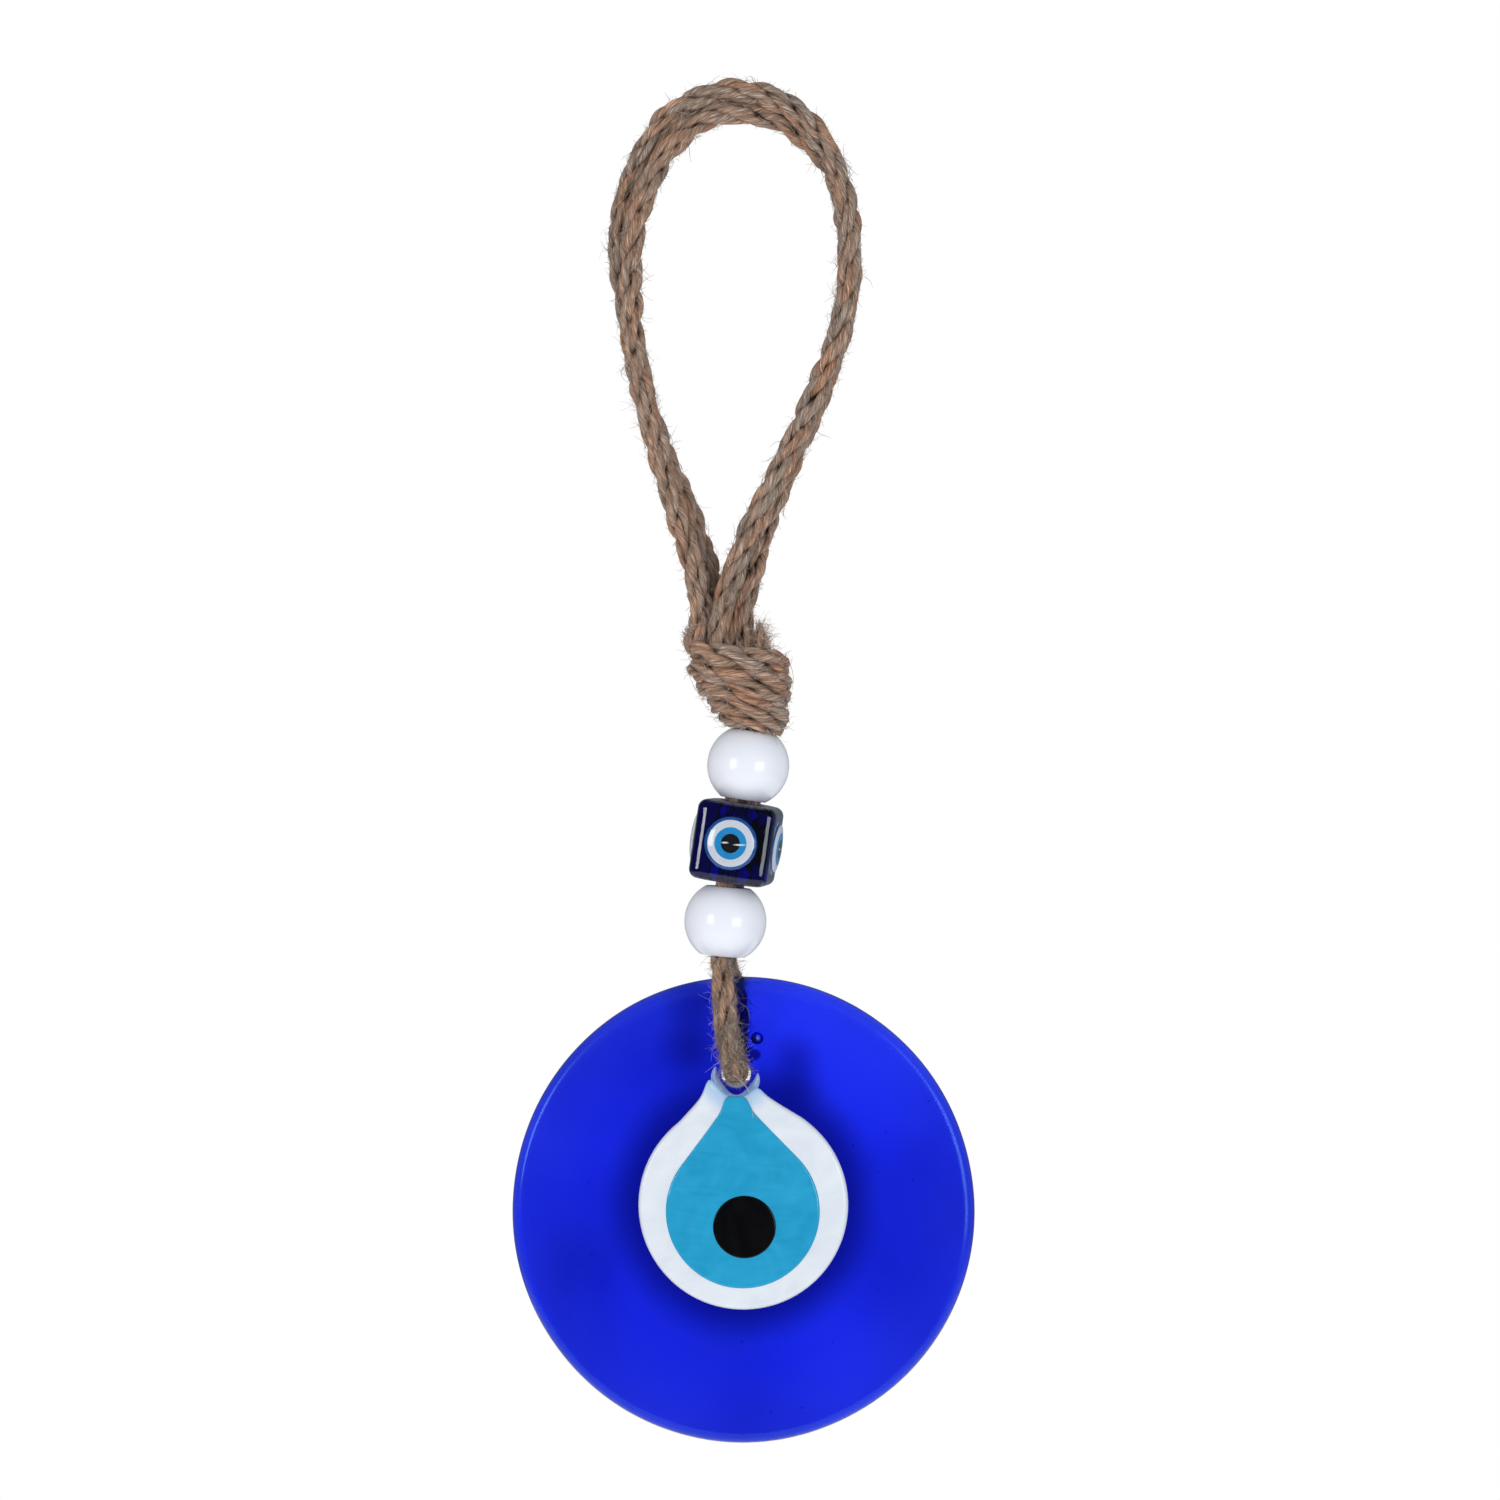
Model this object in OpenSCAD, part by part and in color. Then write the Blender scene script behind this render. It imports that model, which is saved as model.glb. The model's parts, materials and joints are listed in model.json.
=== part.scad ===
// Evil eye ornament: a glass eye disc hung on a doubled jute rope, with two round beads and one
// cube bead above it, a wrapped knot over the beads and a doubled hanging loop at the top.
// The origin is the inside of the loop's top, where a nail or hook bears. +Z is up, the eye faces
// -Y, and the wall is on the +Y side. All sizes are in millimetres.

/* [Rope] */
// Diameter of the rope where nothing squeezes it
rope_d = 4.5; // [3.5:0.1:4.6]
// Sides of the rope's plain tube
rope_sides = 10; // [8:1:12]

/* [Knot] */
// Outer radius of the knot's upper turns
knot_top_r = 9.9; // [9:0.1:11]
// Outer radius of the knot's lowest turn
knot_low_r = 6.6; // [6:0.1:8]
// Slope of the turns, down to the right
knot_slope = 9; // [0:1:15]

/* [Beads] */
// Diameter of the two round beads
bead_d = 16; // [14:0.5:17]
// Bore of every bead
bead_bore_d = 8.4; // [8.2:0.1:9]
// Side of the cube bead
cube_side = 15.5; // [15:0.1:16]
// Radius of the cube bead's edges
cube_round = 2.2; // [1:0.1:2.5]
// Turn of the cube bead about its bore, which shows its right face
cube_turn = 8; // [0:1:45]

/* [Eyes on the cube bead] */
// Diameter of the clear dome over each eye
dome_d = 10.4; // [10:0.1:11]
// Height of the clear dome
dome_h = 1.1; // [0.8:0.1:1.5]
// Diameter of the white ring
eye_white_d = 9.3; // [8:0.1:9.8]
// Diameter of the light blue ring
eye_blue_d = 6.2; // [5:0.1:7]
// Diameter of the black pupil
eye_pupil_d = 3.7; // [3:0.1:4.5]

/* [Glass disc] */
// Diameter of the glass disc
disc_d = 90.6; // [86:0.2:92]
// Thickness of the glass disc
disc_t = 5; // [4:0.1:5]
// Thickness at the start of the rounded rim
rim_t = 4.4; // [3.6:0.1:4.4]
// Diameter of the rope hole at its waist
hole_d = 6.6; // [6.6:0.1:7]
// Rounding of the hole's two edges
hole_round = 1.8; // [1.6:0.1:1.9]

/* [Eye on the disc] */
// Radius of the white layer's round part
white_r = 20.4; // [18:0.1:22]
// Radius of the light blue layer's round part
blue_r = 15; // [13:0.1:16]
// Radius of the black pupil
pupil_r = 6.1; // [5:0.1:7]
// Thickness of the white layer
white_t = 1; // [0.6:0.1:1.2]
// Thickness of the light blue layer
blue_t = 0.3; // [0.2:0.1:0.6]
// Thickness of the pupil
pupil_t = 0.2; // [0.2:0.1:0.4]

/* [Hidden] */
$fn = 64;

jute = [0.60, 0.47, 0.36];
cobalt = [0.05, 0.12, 0.78];
sky = [0.15, 0.60, 0.80];
navy = [0.07, 0.08, 0.35];
rope_r = rope_d / 2;

// Places of the pieces on the rope: centre, and lean of the bore towards +X at its top
upper_bead_at = [1.95, 0, -125];
upper_bead_lean = 8.5;
cube_at = [-0.35, 0, -140];
cube_lean = 8.5;
cube_nod = 1.5;
lower_bead_at = [-2.5, 0, -155.4];
lower_bead_lean = 5;
disc_at = [1, 0, -212];
hole_at = [-0.4, 0, -185];
white_at = [1, 0, -210.4];
blue_at = [0.9, 0, -211.6];
pupil_at = [1.2, 0, -214.6];

// Each drop shape's neck: angle at which its straight flanks leave the round part, then half the
// neck's width and the height of its end
white_neck = [42, 5.6, -187.6];
blue_neck = [40, 2.8, -189];

// Places of the knot's bulge at the upper left, where the rope bends over, and of its turns
knot_bulge_at = [-8.3, -0.6, -100];
knot_upper_at = [-0.4, 0, -104.4];
knot_middle_at = [0.9, 0, -109.6];
knot_lowest_at = [3.3, 0, -115.7];
knot_middle_r = knot_top_r - 0.2;
// Share of the free rope's radius left in the lowest turn
knot_low_share = 0.8;

// Thickness of each printed layer of a small eye, let into the cube's face to lie flush with it
print_t = 0.25;
pocket = 3 * print_t;
// Radius where the disc's flat faces start to taper to the rim
flat_r = 30;
// Length of a cutter that goes through any piece, and how far two cutters lap
through = 40;
lap = 0.01;

// Route of the rope that lies inside at the loop's top: up the left side, over and down the right
inner_route = [
    [-6.9, -1.2, -104], [-7.2, -1.4, -97], [-8.5, -1.6, -87], [-12.1, -1.9, -75.5],
    [-15.8, -2.2, -63], [-18.8, -2.3, -51], [-20.6, -2.2, -40], [-21.0, -2.0, -31],
    [-20.3, -1.6, -22], [-17.6, -1.2, -12.5], [-13.0, -0.7, -4.5], [-6.5, -0.2, 1.0],
    [1.0, 0.4, 2.3], [8.0, 1.3, 0.8], [14.0, 1.9, -3.0], [18.8, 2.2, -9.5], [21.2, 2.3, -18],
    [21.8, 2.3, -28], [20.1, 2.3, -40], [15.8, 2.3, -52.5], [10.7, 2.1, -64.5],
    [6.0, 1.8, -76.5], [2.2, 1.1, -88.5], [0.8, 0.5, -97], [0.6, 0.3, -104]];
// Route of the rope that lies outside at the top: behind on the left, in front on the right
outer_route = [
    [-4.0, 3.0, -104], [-4.2, 3.2, -97], [-5.8, 3.0, -87], [-9.7, 2.5, -75.5],
    [-14.9, 2.3, -63], [-18.8, 2.3, -51], [-21.1, 2.3, -40], [-22.5, 2.3, -31],
    [-23.3, 2.0, -22.5], [-21.8, 1.7, -13.5], [-18.3, 1.4, -5], [-13.0, 1.0, 2.2],
    [-6.0, 0.4, 5.6], [1.0, -0.4, 6.4], [8.0, -1.3, 4.3], [14.0, -1.9, -0.4],
    [18.5, -2.2, -7.2], [21.0, -2.3, -16], [21.6, -2.3, -26], [20.3, -2.3, -38],
    [16.0, -2.3, -50.5], [10.4, -2.4, -63], [4.4, -2.6, -75], [-0.7, -2.9, -87],
    [-3.5, -3.1, -96.5], [-3.9, -3.0, -104]];
// Route of the rope under the knot: down through the beads, over the disc's face, through its
// hole and up behind it. The fourth number is the share of the free rope's radius left there.
drop_route = [
    [1.1, 0, -115, 0.84], [0.1, -0.5, -125, 0.84], [-0.9, -0.9, -132.3, 0.84],
    [-1.8, -1.3, -140, 0.84], [-2.8, -1.5, -147.9, 0.82],
    [-3.4, -1.7, -155.4, 0.82], [-3.6, -1.8, -162.2, 0.8], [-3.3, -2.8, -164, 0.84],
    [-3.1, -4.0, -165.6, 0.9], [-2.9, -4.9, -167.4, 0.94], [-2.7, -5.1, -171, 0.98],
    [-2.2, -5.1, -176, 0.98], [-1.5, -5.0, -179.9, 0.94], [-1.0, -4.4, -182.1, 0.9],
    [-0.8, -2.9, -183.6, 0.9], [-0.6, -1.1, -184, 0.9], [-0.6, 1.1, -184, 0.9],
    [-0.5, 2.9, -183.6, 0.9], [-0.4, 4.4, -182.1, 0.9], [-0.3, 5.0, -179.9, 0.94],
    [-0.3, 5.1, -176, 0.98], [-0.6, 5.1, -171, 0.98], [-1.3, 4.9, -167.4, 0.94],
    [-1.7, 4.0, -165.6, 0.9], [-2.1, 2.8, -164, 0.84], [-2.4, 1.8, -162.2, 0.8],
    [-1.8, 1.7, -155.4, 0.82], [-0.6, 1.5, -147.9, 0.82], [1.1, 1.3, -140, 0.84],
    [2.6, 0.9, -132.3, 0.84], [3.9, 0.5, -125, 0.84], [5.0, 0, -115, 0.84]];
// The two cut ends of the rope, each from inside the knot to its frayed tip
tail_ends = [[[5.2, -1.2, -104, 0.9], [4.8, -1.8, -97.6, 0.9]],
             [[3.6, 5.4, -104, 0.9], [3.2, 5.8, -98.6, 0.9]]];

function unit(v) = v / norm(v);
function point(p) = [p[0], p[1], p[2]];
function share(p) = len(p) > 3 ? p[3] : 1;
function along(route, i) =
    unit(point(route[min(i + 1, len(route) - 1)]) - point(route[max(i - 1, 0)]));
function ring(centre, dir, across, r) =
    let (u = unit(cross(dir, across)), v = cross(dir, u))
    [for (k = [0:rope_sides - 1])
        let (a = 360 * k / rope_sides) centre + r * (cos(a) * u + sin(a) * v)];

// One closed tube along a route. "across" is a direction that the route never runs along.
module rope_tube(route, across) {
    n = rope_sides;
    last = len(route) - 1;
    points = [for (i = [0:last])
        each ring(point(route[i]), along(route, i), across, rope_r * share(route[i]))];
    sides = [for (i = [0:last - 1], k = [0:n - 1])
        let (m = (k + 1) % n) [i * n + k, i * n + n + k, i * n + n + m, i * n + m]];
    start_cap = [[for (k = [0:n - 1]) k]];
    end_cap = [[for (k = [n - 1:-1:0]) last * n + k]];
    polyhedron(points, concat(start_cap, sides, end_cap), convexity = 6);
}

// A flat round cake with a fully rounded edge, as one turn of rope fills
module turn_of_rope(r, half) {
    rotate_extrude($fn = 32) {
        translate([0, -half]) square([r - half, 2 * half]);
        translate([r - half, 0]) intersection() {
            circle(half, $fn = 16);
            translate([0, -half]) square(2 * half);
        }
    }
}

module round_bead() {
    difference() {
        sphere(d = bead_d);
        cylinder(d = bead_bore_d, h = bead_d + 2, center = true);
    }
}

// Places its children on the cube bead: origin at its centre, +Z along its bore
module at_cube() {
    translate(cube_at) rotate([0, cube_lean, 0]) rotate([cube_nod, 0, 0]) rotate([0, 0, -cube_turn])
        children();
}

// Repeats its children on the cube bead's four side faces, with +Z out of each face
module on_cube_faces() {
    at_cube() for (k = [0:3])
        rotate([0, 0, 90 * k]) translate([0, -cube_side / 2, 0]) rotate([90, 0, 0]) children();
}

module cube_bead() {
    c = cube_side / 2 - cube_round;
    color(navy) difference() {
        at_cube() difference() {
            hull() for (x = [-c, c], y = [-c, c], z = [-c, c])
                translate([x, y, z]) sphere(cube_round, $fn = 24);
            cylinder(d = bead_bore_d, h = cube_side + 2, center = true);
        }
        on_cube_faces() translate([0, 0, -pocket]) cylinder(d = eye_white_d, h = cube_side);
    }
}
module cube_eye_whites() {
    color("white") on_cube_faces() difference() {
        translate([0, 0, -pocket]) cylinder(d = eye_white_d, h = pocket);
        translate([0, 0, -2 * print_t]) cylinder(d = eye_blue_d, h = pocket);
    }
}
module cube_eye_blues() {
    color(sky) on_cube_faces() difference() {
        translate([0, 0, -2 * print_t]) cylinder(d = eye_blue_d, h = 2 * print_t);
        translate([0, 0, -print_t]) cylinder(d = eye_pupil_d, h = pocket);
    }
}
module cube_eye_pupils() {
    color("black") on_cube_faces() translate([0, 0, -print_t]) cylinder(d = eye_pupil_d, h = print_t);
}
// Section of a clear dome on one side of its axis
module dome_section() {
    arc_r = (pow(dome_d / 2, 2) + pow(dome_h, 2)) / (2 * dome_h);
    intersection() {
        translate([0, dome_h - arc_r]) circle(arc_r, $fn = 720);
        square([dome_d, 2 * dome_h]);
    }
}
module cube_eye_domes() {
    color([0.8, 0.9, 1, 0.4]) on_cube_faces() rotate_extrude($fn = 96) dome_section();
}

module upper_bead() {
    color("white") translate(upper_bead_at) rotate([0, upper_bead_lean, 0]) round_bead();
}
module lower_bead() {
    color("white") translate(lower_bead_at) rotate([0, lower_bead_lean, 0]) round_bead();
}

module loop_rope_inner() { color(jute) rope_tube(inner_route, [0, 1, 0]); }
module loop_rope_outer() { color(jute) rope_tube(outer_route, [0, 1, 0]); }
module drop_rope() { color(jute) rope_tube(drop_route, [1, 0, 0]); }

// The knot's outer shape: the bulge at the upper left, the full turns and the small lowest turn
module knot() {
    color(jute) hull() {
        translate(knot_bulge_at) sphere(rope_r, $fn = 20);
        translate(knot_upper_at) rotate([0, knot_slope, 0]) turn_of_rope(knot_top_r, rope_r);
        translate(knot_middle_at) rotate([0, knot_slope, 0]) turn_of_rope(knot_middle_r, rope_r);
        translate(knot_lowest_at) rotate([0, knot_slope, 0])
            turn_of_rope(knot_low_r, knot_low_share * rope_r);
    }
}
module knot_tails() {
    color(jute) for (end = tail_ends) rope_tube(end, [0, 1, 0]);
}

// Section of the glass disc on one side of its axis
module disc_section() {
    half = disc_t / 2;
    edge = rim_t / 2;
    rim_x = disc_d / 2 - edge;
    polygon([[0, -half], [flat_r, -half], [rim_x, -edge], [rim_x, edge], [flat_r, half], [0, half]]);
    translate([rim_x, 0]) intersection() {
        circle(edge);
        translate([0, -edge]) square(2 * edge);
    }
}
// Section of what the rope hole takes away, with its edges rounded over
module hole_section() {
    r = hole_d / 2;
    half = disc_t / 2;
    translate([0, -half - 1]) square([r, disc_t + 2]);
    for (s = [-1, 1]) difference() {
        translate([r - lap, s > 0 ? half - hole_round : -half - 1])
            square([hole_round + lap, hole_round + 1]);
        translate([r + hole_round, s * (half - hole_round)]) circle(hole_round);
    }
}
module glass_disc() {
    color(cobalt) difference() {
        translate(disc_at) rotate([90, 0, 0]) rotate_extrude($fn = 128) disc_section();
        translate(hole_at) rotate([90, 0, 0]) rotate_extrude() hole_section();
    }
}

// A drop shape: a round part with straight flanks that rise to a neck at the rope hole
module drop_outline(r, centre, neck) {
    translate([centre[0], centre[2]]) circle(r, $fn = 96);
    flank_x = r * cos(neck[0]);
    flank_z = centre[2] + r * sin(neck[0]);
    polygon([[centre[0], centre[2]], [centre[0] + flank_x, flank_z], [hole_at[0] + neck[1], neck[2]],
             [hole_at[0] - neck[1], neck[2]], [centre[0] - flank_x, flank_z]]);
}
// Lays a drop outline on the disc's front, from one depth to the next, clear of the rope hole
module glass_layer(y_from, t) {
    difference() {
        translate([0, y_from, 0]) rotate([90, 0, 0]) linear_extrude(t) children();
        translate(hole_at) rotate([90, 0, 0])
            cylinder(r = hole_d / 2 + hole_round, h = through, center = true);
    }
}
front_y = -disc_t / 2;
module white_eye() {
    color("white") glass_layer(front_y, white_t) drop_outline(white_r, white_at, white_neck);
}
module blue_iris() {
    color(sky) glass_layer(front_y - white_t, blue_t) drop_outline(blue_r, blue_at, blue_neck);
}
module pupil() {
    color("black") translate(pupil_at) translate([0, front_y - white_t - blue_t, 0])
        rotate([90, 0, 0]) cylinder(r = pupil_r, h = pupil_t);
}

loop_rope_inner();
loop_rope_outer();
knot();
knot_tails();
drop_rope();
upper_bead();
cube_bead();
cube_eye_whites();
cube_eye_blues();
cube_eye_pupils();
cube_eye_domes();
lower_bead();
glass_disc();
white_eye();
blue_iris();
pupil();
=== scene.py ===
"""Evil eye ornament: looks of the rope, beads, cube bead and glass disc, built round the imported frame.

Everything is in metres, in the row frame: +Z up, the eye faces -Y, the origin inside the loop's top.
Lengths are written as millimetres times MM.
"""
import json
import math
import random

import bmesh
import bpy
import numpy as np
from mathutils import Matrix, Vector


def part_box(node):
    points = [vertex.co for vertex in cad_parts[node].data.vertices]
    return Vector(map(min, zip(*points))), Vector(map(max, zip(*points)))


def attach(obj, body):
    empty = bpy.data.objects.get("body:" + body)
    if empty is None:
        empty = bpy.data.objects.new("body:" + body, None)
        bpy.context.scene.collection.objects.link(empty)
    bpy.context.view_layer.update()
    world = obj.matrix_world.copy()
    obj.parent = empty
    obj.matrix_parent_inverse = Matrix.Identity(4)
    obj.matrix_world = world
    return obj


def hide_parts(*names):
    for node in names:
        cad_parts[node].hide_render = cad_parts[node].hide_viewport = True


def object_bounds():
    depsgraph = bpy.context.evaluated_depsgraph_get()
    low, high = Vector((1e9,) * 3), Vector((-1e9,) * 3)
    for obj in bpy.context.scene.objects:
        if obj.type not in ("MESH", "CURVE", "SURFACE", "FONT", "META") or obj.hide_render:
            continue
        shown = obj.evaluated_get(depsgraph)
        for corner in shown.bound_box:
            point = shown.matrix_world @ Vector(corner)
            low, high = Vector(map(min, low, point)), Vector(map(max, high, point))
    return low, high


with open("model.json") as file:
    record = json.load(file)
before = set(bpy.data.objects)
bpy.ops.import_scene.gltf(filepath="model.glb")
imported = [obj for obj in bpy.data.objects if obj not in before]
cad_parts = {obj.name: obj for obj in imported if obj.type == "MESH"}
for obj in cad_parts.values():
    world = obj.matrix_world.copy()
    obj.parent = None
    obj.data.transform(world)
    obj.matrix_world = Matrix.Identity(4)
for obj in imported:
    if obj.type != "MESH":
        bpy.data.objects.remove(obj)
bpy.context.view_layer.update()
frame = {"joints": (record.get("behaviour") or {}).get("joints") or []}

MM = 0.001
ROPE_D = 4.5 * MM
ROPE_R = ROPE_D / 2
LAY_PITCH = 20 * MM        # length of one full turn of a strand round the rope
YARN_PITCH = 9 * MM        # length of one full turn of a yarn round its strand, the other way
YARN_R = 0.63 * MM
STRAND_OUT = 0.50          # how far a strand's middle lies from the rope's, in rope radii
YARN_OUT = 0.265           # and a yarn's middle from its strand's
YARN_THICK = 0.322         # and a yarn's own radius
YARN_SIDES = 12
HAIR_SEGMENTS = 5
HAIR_R = 0.055 * MM
BEAD_BORE_R = 4.2 * MM
ROOM_LIGHT = 0.66          # what the white room gives a matt surface
MIRRORED_LIGHT = 0.10      # how bright the room before the ornament is in a reflection
MIRRORED_WALL = 0.26       # and the wall behind it


# ---------------------------------------------------------------- shader nodes

WHITE = (1.0, 1.0, 1.0)
MIX_A, MIX_B = 6, 7        # the colour sockets of a Mix node, which share their names with others


class Nodes:
    """Short calls that make and join the nodes of one tree."""

    def __init__(self, tree):
        self.tree = tree
        tree.nodes.clear()

    def fill(self, socket, value):
        """Links the socket to another one, or gives it a plain value."""
        if isinstance(value, bpy.types.NodeSocket):
            self.tree.links.new(value, socket)
        else:
            socket.default_value = value

    def node(self, kind, sockets=None, **props):
        made = self.tree.nodes.new("ShaderNode" + kind)
        for name, value in props.items():
            setattr(made, name, value)
        for name, value in (sockets or {}).items():
            self.fill(made.inputs[name], value)
        return made


# ---------------------------------------------------------------- camera and light

def make_camera():
    """The camera faces the ornament squarely, at the height of its middle."""
    data = bpy.data.cameras.new("camera")
    data.lens = 100
    data.sensor_width = 36
    data.clip_start = 0.01
    data.clip_end = 50
    camera = bpy.data.objects.new("camera", data)
    frame_width = 292.5 * MM
    distance = frame_width * data.lens / data.sensor_width
    camera.location = (2.3 * MM, -distance, -122 * MM)
    camera.rotation_euler = (math.radians(90), 0, 0)
    bpy.context.scene.collection.objects.link(camera)
    bpy.context.scene.camera = camera


def make_softbox(name, place, width, height, power, tint):
    """A soft lamp that faces the ornament's middle."""
    data = bpy.data.lights.new(name, "AREA")
    data.shape = "RECTANGLE"
    data.size = width
    data.size_y = height
    data.energy = power
    data.color = tint
    light = bpy.data.objects.new(name, data)
    light.location = place
    light.rotation_euler = (Vector((0, 0, -0.14)) - Vector(place)).to_track_quat("-Z", "Y").to_euler()
    light.visible_camera = False
    bpy.context.scene.collection.objects.link(light)


def make_world():
    """A white room, softer on matt surfaces and dim in reflections, so that dark glass stays deep."""
    world = bpy.data.worlds.new("white_room")
    world.use_nodes = True
    n = Nodes(world.node_tree)

    def light(strength, colour=WHITE):
        return n.node("Background", {"Color": (*colour, 1), "Strength": strength}).outputs[0]

    def choose(where, usual, other):
        return n.node("MixShader", {"Fac": where, 1: usual, 2: other}).outputs[0]

    path = n.node("LightPath").outputs
    mirrored = n.node("Math", {0: path["Is Glossy Ray"], 1: path["Is Transmission Ray"]},
                      operation="SUBTRACT", use_clamp=True)
    seen = choose(path["Is Diffuse Ray"], light(1.0), light(ROOM_LIGHT))
    split = n.node("SeparateXYZ", {0: n.node("TexCoord").outputs["Generated"]})
    wall = n.node("MapRange", {"Value": split.outputs["Y"], "From Min": 0.1, "From Max": 0.9})
    glossy = choose(wall.outputs["Result"], light(MIRRORED_LIGHT, (0.8, 0.88, 1)),
                    light(MIRRORED_WALL, (0.72, 0.86, 1)))
    n.node("OutputWorld", {"Surface": choose(mirrored.outputs[0], seen, glossy)})
    bpy.context.scene.world = world
    bpy.context.scene.view_settings.view_transform = "Standard"


make_camera()
make_world()
make_softbox("softbox_left", (-0.52, -0.58, -0.06), 0.18, 0.28, 1.6, WHITE)
make_softbox("softbox_right", (0.42, -0.66, -0.16), 0.34, 0.30, 1.9, (0.84, 0.92, 1))


# ---------------------------------------------------------------- materials

class Shader(Nodes):
    """A material, with short calls for the nodes that the finishes share."""

    def __init__(self, name):
        self.material = bpy.data.materials.new(name)
        self.material.use_nodes = True
        super().__init__(self.material.node_tree)
        self.bsdf = self.node("BsdfPrincipled")
        self.out = self.node("OutputMaterial", {"Surface": self.bsdf.outputs[0]})

    def set(self, **values):
        """Fills sockets of the main shader, named with underscores for spaces."""
        for name, value in values.items():
            self.fill(self.bsdf.inputs[name.replace("_", " ")], value)

    def surface_coords(self, uv=None):
        """Object coordinates, or the named UV map."""
        if uv:
            return self.node("UVMap", uv_map=uv).outputs["UV"]
        return self.node("TexCoord").outputs["Object"]

    def mapped(self, source, scale, turn=0.0, shift=(0, 0, 0)):
        """Coordinates turned about Z, then scaled."""
        sockets = {"Vector": source, "Scale": [1 / v for v in scale], "Rotation": (0, 0, turn),
                   "Location": shift}
        return self.node("Mapping", sockets, vector_type="TEXTURE").outputs["Vector"]

    def noise(self, source, scale=1.0, detail=3.0, rough=0.55, distortion=0.0):
        return self.node("TexNoise", {"Vector": source, "Scale": scale, "Detail": detail,
                                      "Roughness": rough, "Distortion": distortion}).outputs["Fac"]

    def ramp(self, source, *stops):
        made = self.node("ValToRGB", {"Fac": source})
        elements = made.color_ramp.elements
        while len(elements) < len(stops):
            elements.new(0.5)
        for element, (position, colour) in zip(elements, stops):
            element.position = position
            element.color = (*colour, 1)
        return made.outputs["Color"]

    def grey(self, source, low, high, at=(0.0, 1.0), **props):
        """Maps source from the range "at" to the range low to high."""
        sockets = {"Value": source, "From Min": at[0], "From Max": at[1], "To Min": low, "To Max": high}
        return self.node("MapRange", sockets, **props).outputs["Result"]

    def patchy(self, source, scale, low, high, at=(0.3, 0.7)):
        """A value from low to high that changes in small patches."""
        return self.grey(self.noise(source, scale, 2.0), low, high, at)

    def near(self, source, centre, inner, outer, most=1.0):
        """The value "most" within the inner distance of a point, fading to 0 at the outer one."""
        apart = self.node("VectorMath", {0: source, 1: centre}, operation="DISTANCE").outputs["Value"]
        return self.grey(apart, most, 0.0, (inner, outer), interpolation_type="SMOOTHSTEP")

    def mix(self, fac, a, b, blend="MIX"):
        first, second = ((*v, 1) if isinstance(v, tuple) else v for v in (a, b))
        sockets = {"Factor": fac, MIX_A: first, MIX_B: second}
        return self.node("Mix", sockets, data_type="RGBA", blend_type=blend).outputs[2]

    def bump(self, height, distance, strength=1.0):
        sockets = {"Height": height, "Distance": distance, "Strength": strength}
        self.set(Normal=self.node("Bump", sockets).outputs["Normal"])

    def absorb(self, colour, density):
        made = self.node("VolumeAbsorption", {"Color": (*colour, 1), "Density": density})
        self.fill(self.out.inputs["Volume"], made.outputs[0])


def jute_material(name, shift, light):
    """Jute yarns: streaked fibres with painted glints, warm and grey patches, painted shade in the gaps.

    The UV map "yarn" holds the distance round the yarn and along it, in centimetres; the map "place"
    holds how far out of the rope's middle the surface lies, as a share of its radius, and a random
    number for each yarn.
    """
    s = Shader(name)
    uv = s.surface_coords("yarn")
    split = s.node("SeparateXYZ", {0: s.surface_coords("place")})
    lean = math.radians(14)
    fibres = s.noise(s.mapped(uv, (44, 3.4, 1), lean, (shift, shift, 0)), 1.0, 4.0, 0.62)
    fine = s.noise(s.mapped(uv, (120, 8, 1), lean, (shift, 3, 0)), 1.0, 3.0, 0.6)
    patches = s.noise(s.mapped(uv, (2.4, 1.6, 1), lean, (shift, 7, 0)), 1.0, 2.0, 0.55)
    patches = s.mix(0.45, patches, split.outputs["Y"])
    tone = s.ramp(patches, (0.25, (0.335, 0.26, 0.205)), (0.45, (0.385, 0.26, 0.185)),
                  (0.62, (0.425, 0.25, 0.158)), (0.80, (0.425, 0.208, 0.112)))
    tone = s.mix(1.0, tone, light, "MULTIPLY")
    # Fibre streaks; the brightest stop, above 1, is a painted glint on the fibres.
    fibre_streaks_and_glints = s.ramp(fibres, (0.27, (0.14, 0.11, 0.10)), (0.42, (0.58, 0.53, 0.50)),
                     (0.56, WHITE), (0.72, (2.4, 2.65, 2.85)))
    fine_tone = s.ramp(fine, (0.30, (0.45, 0.42, 0.40)), (0.50, WHITE), (0.72, (1.5, 1.5, 1.5)))
    colour = s.mix(1.0, s.mix(1.0, tone, fibre_streaks_and_glints, "MULTIPLY"), fine_tone, "MULTIPLY")
    # Painted shade: where the surface lies deep in the rope, between yarns, the colour turns dark brown.
    gap = s.grey(split.outputs["X"], 1.0, 0.0, (0.36, 0.80))
    s.set(Base_Color=s.mix(gap, colour, (0.055, 0.028, 0.016)),
          Roughness=s.grey(fibres, 0.58, 0.28, (0.35, 0.7)),
          Specular_IOR_Level=0.6, Sheen_Weight=0.06, Sheen_Roughness=0.5)
    s.bump(s.mix(0.45, fibres, fine), 0.00022)
    return s.material


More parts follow.
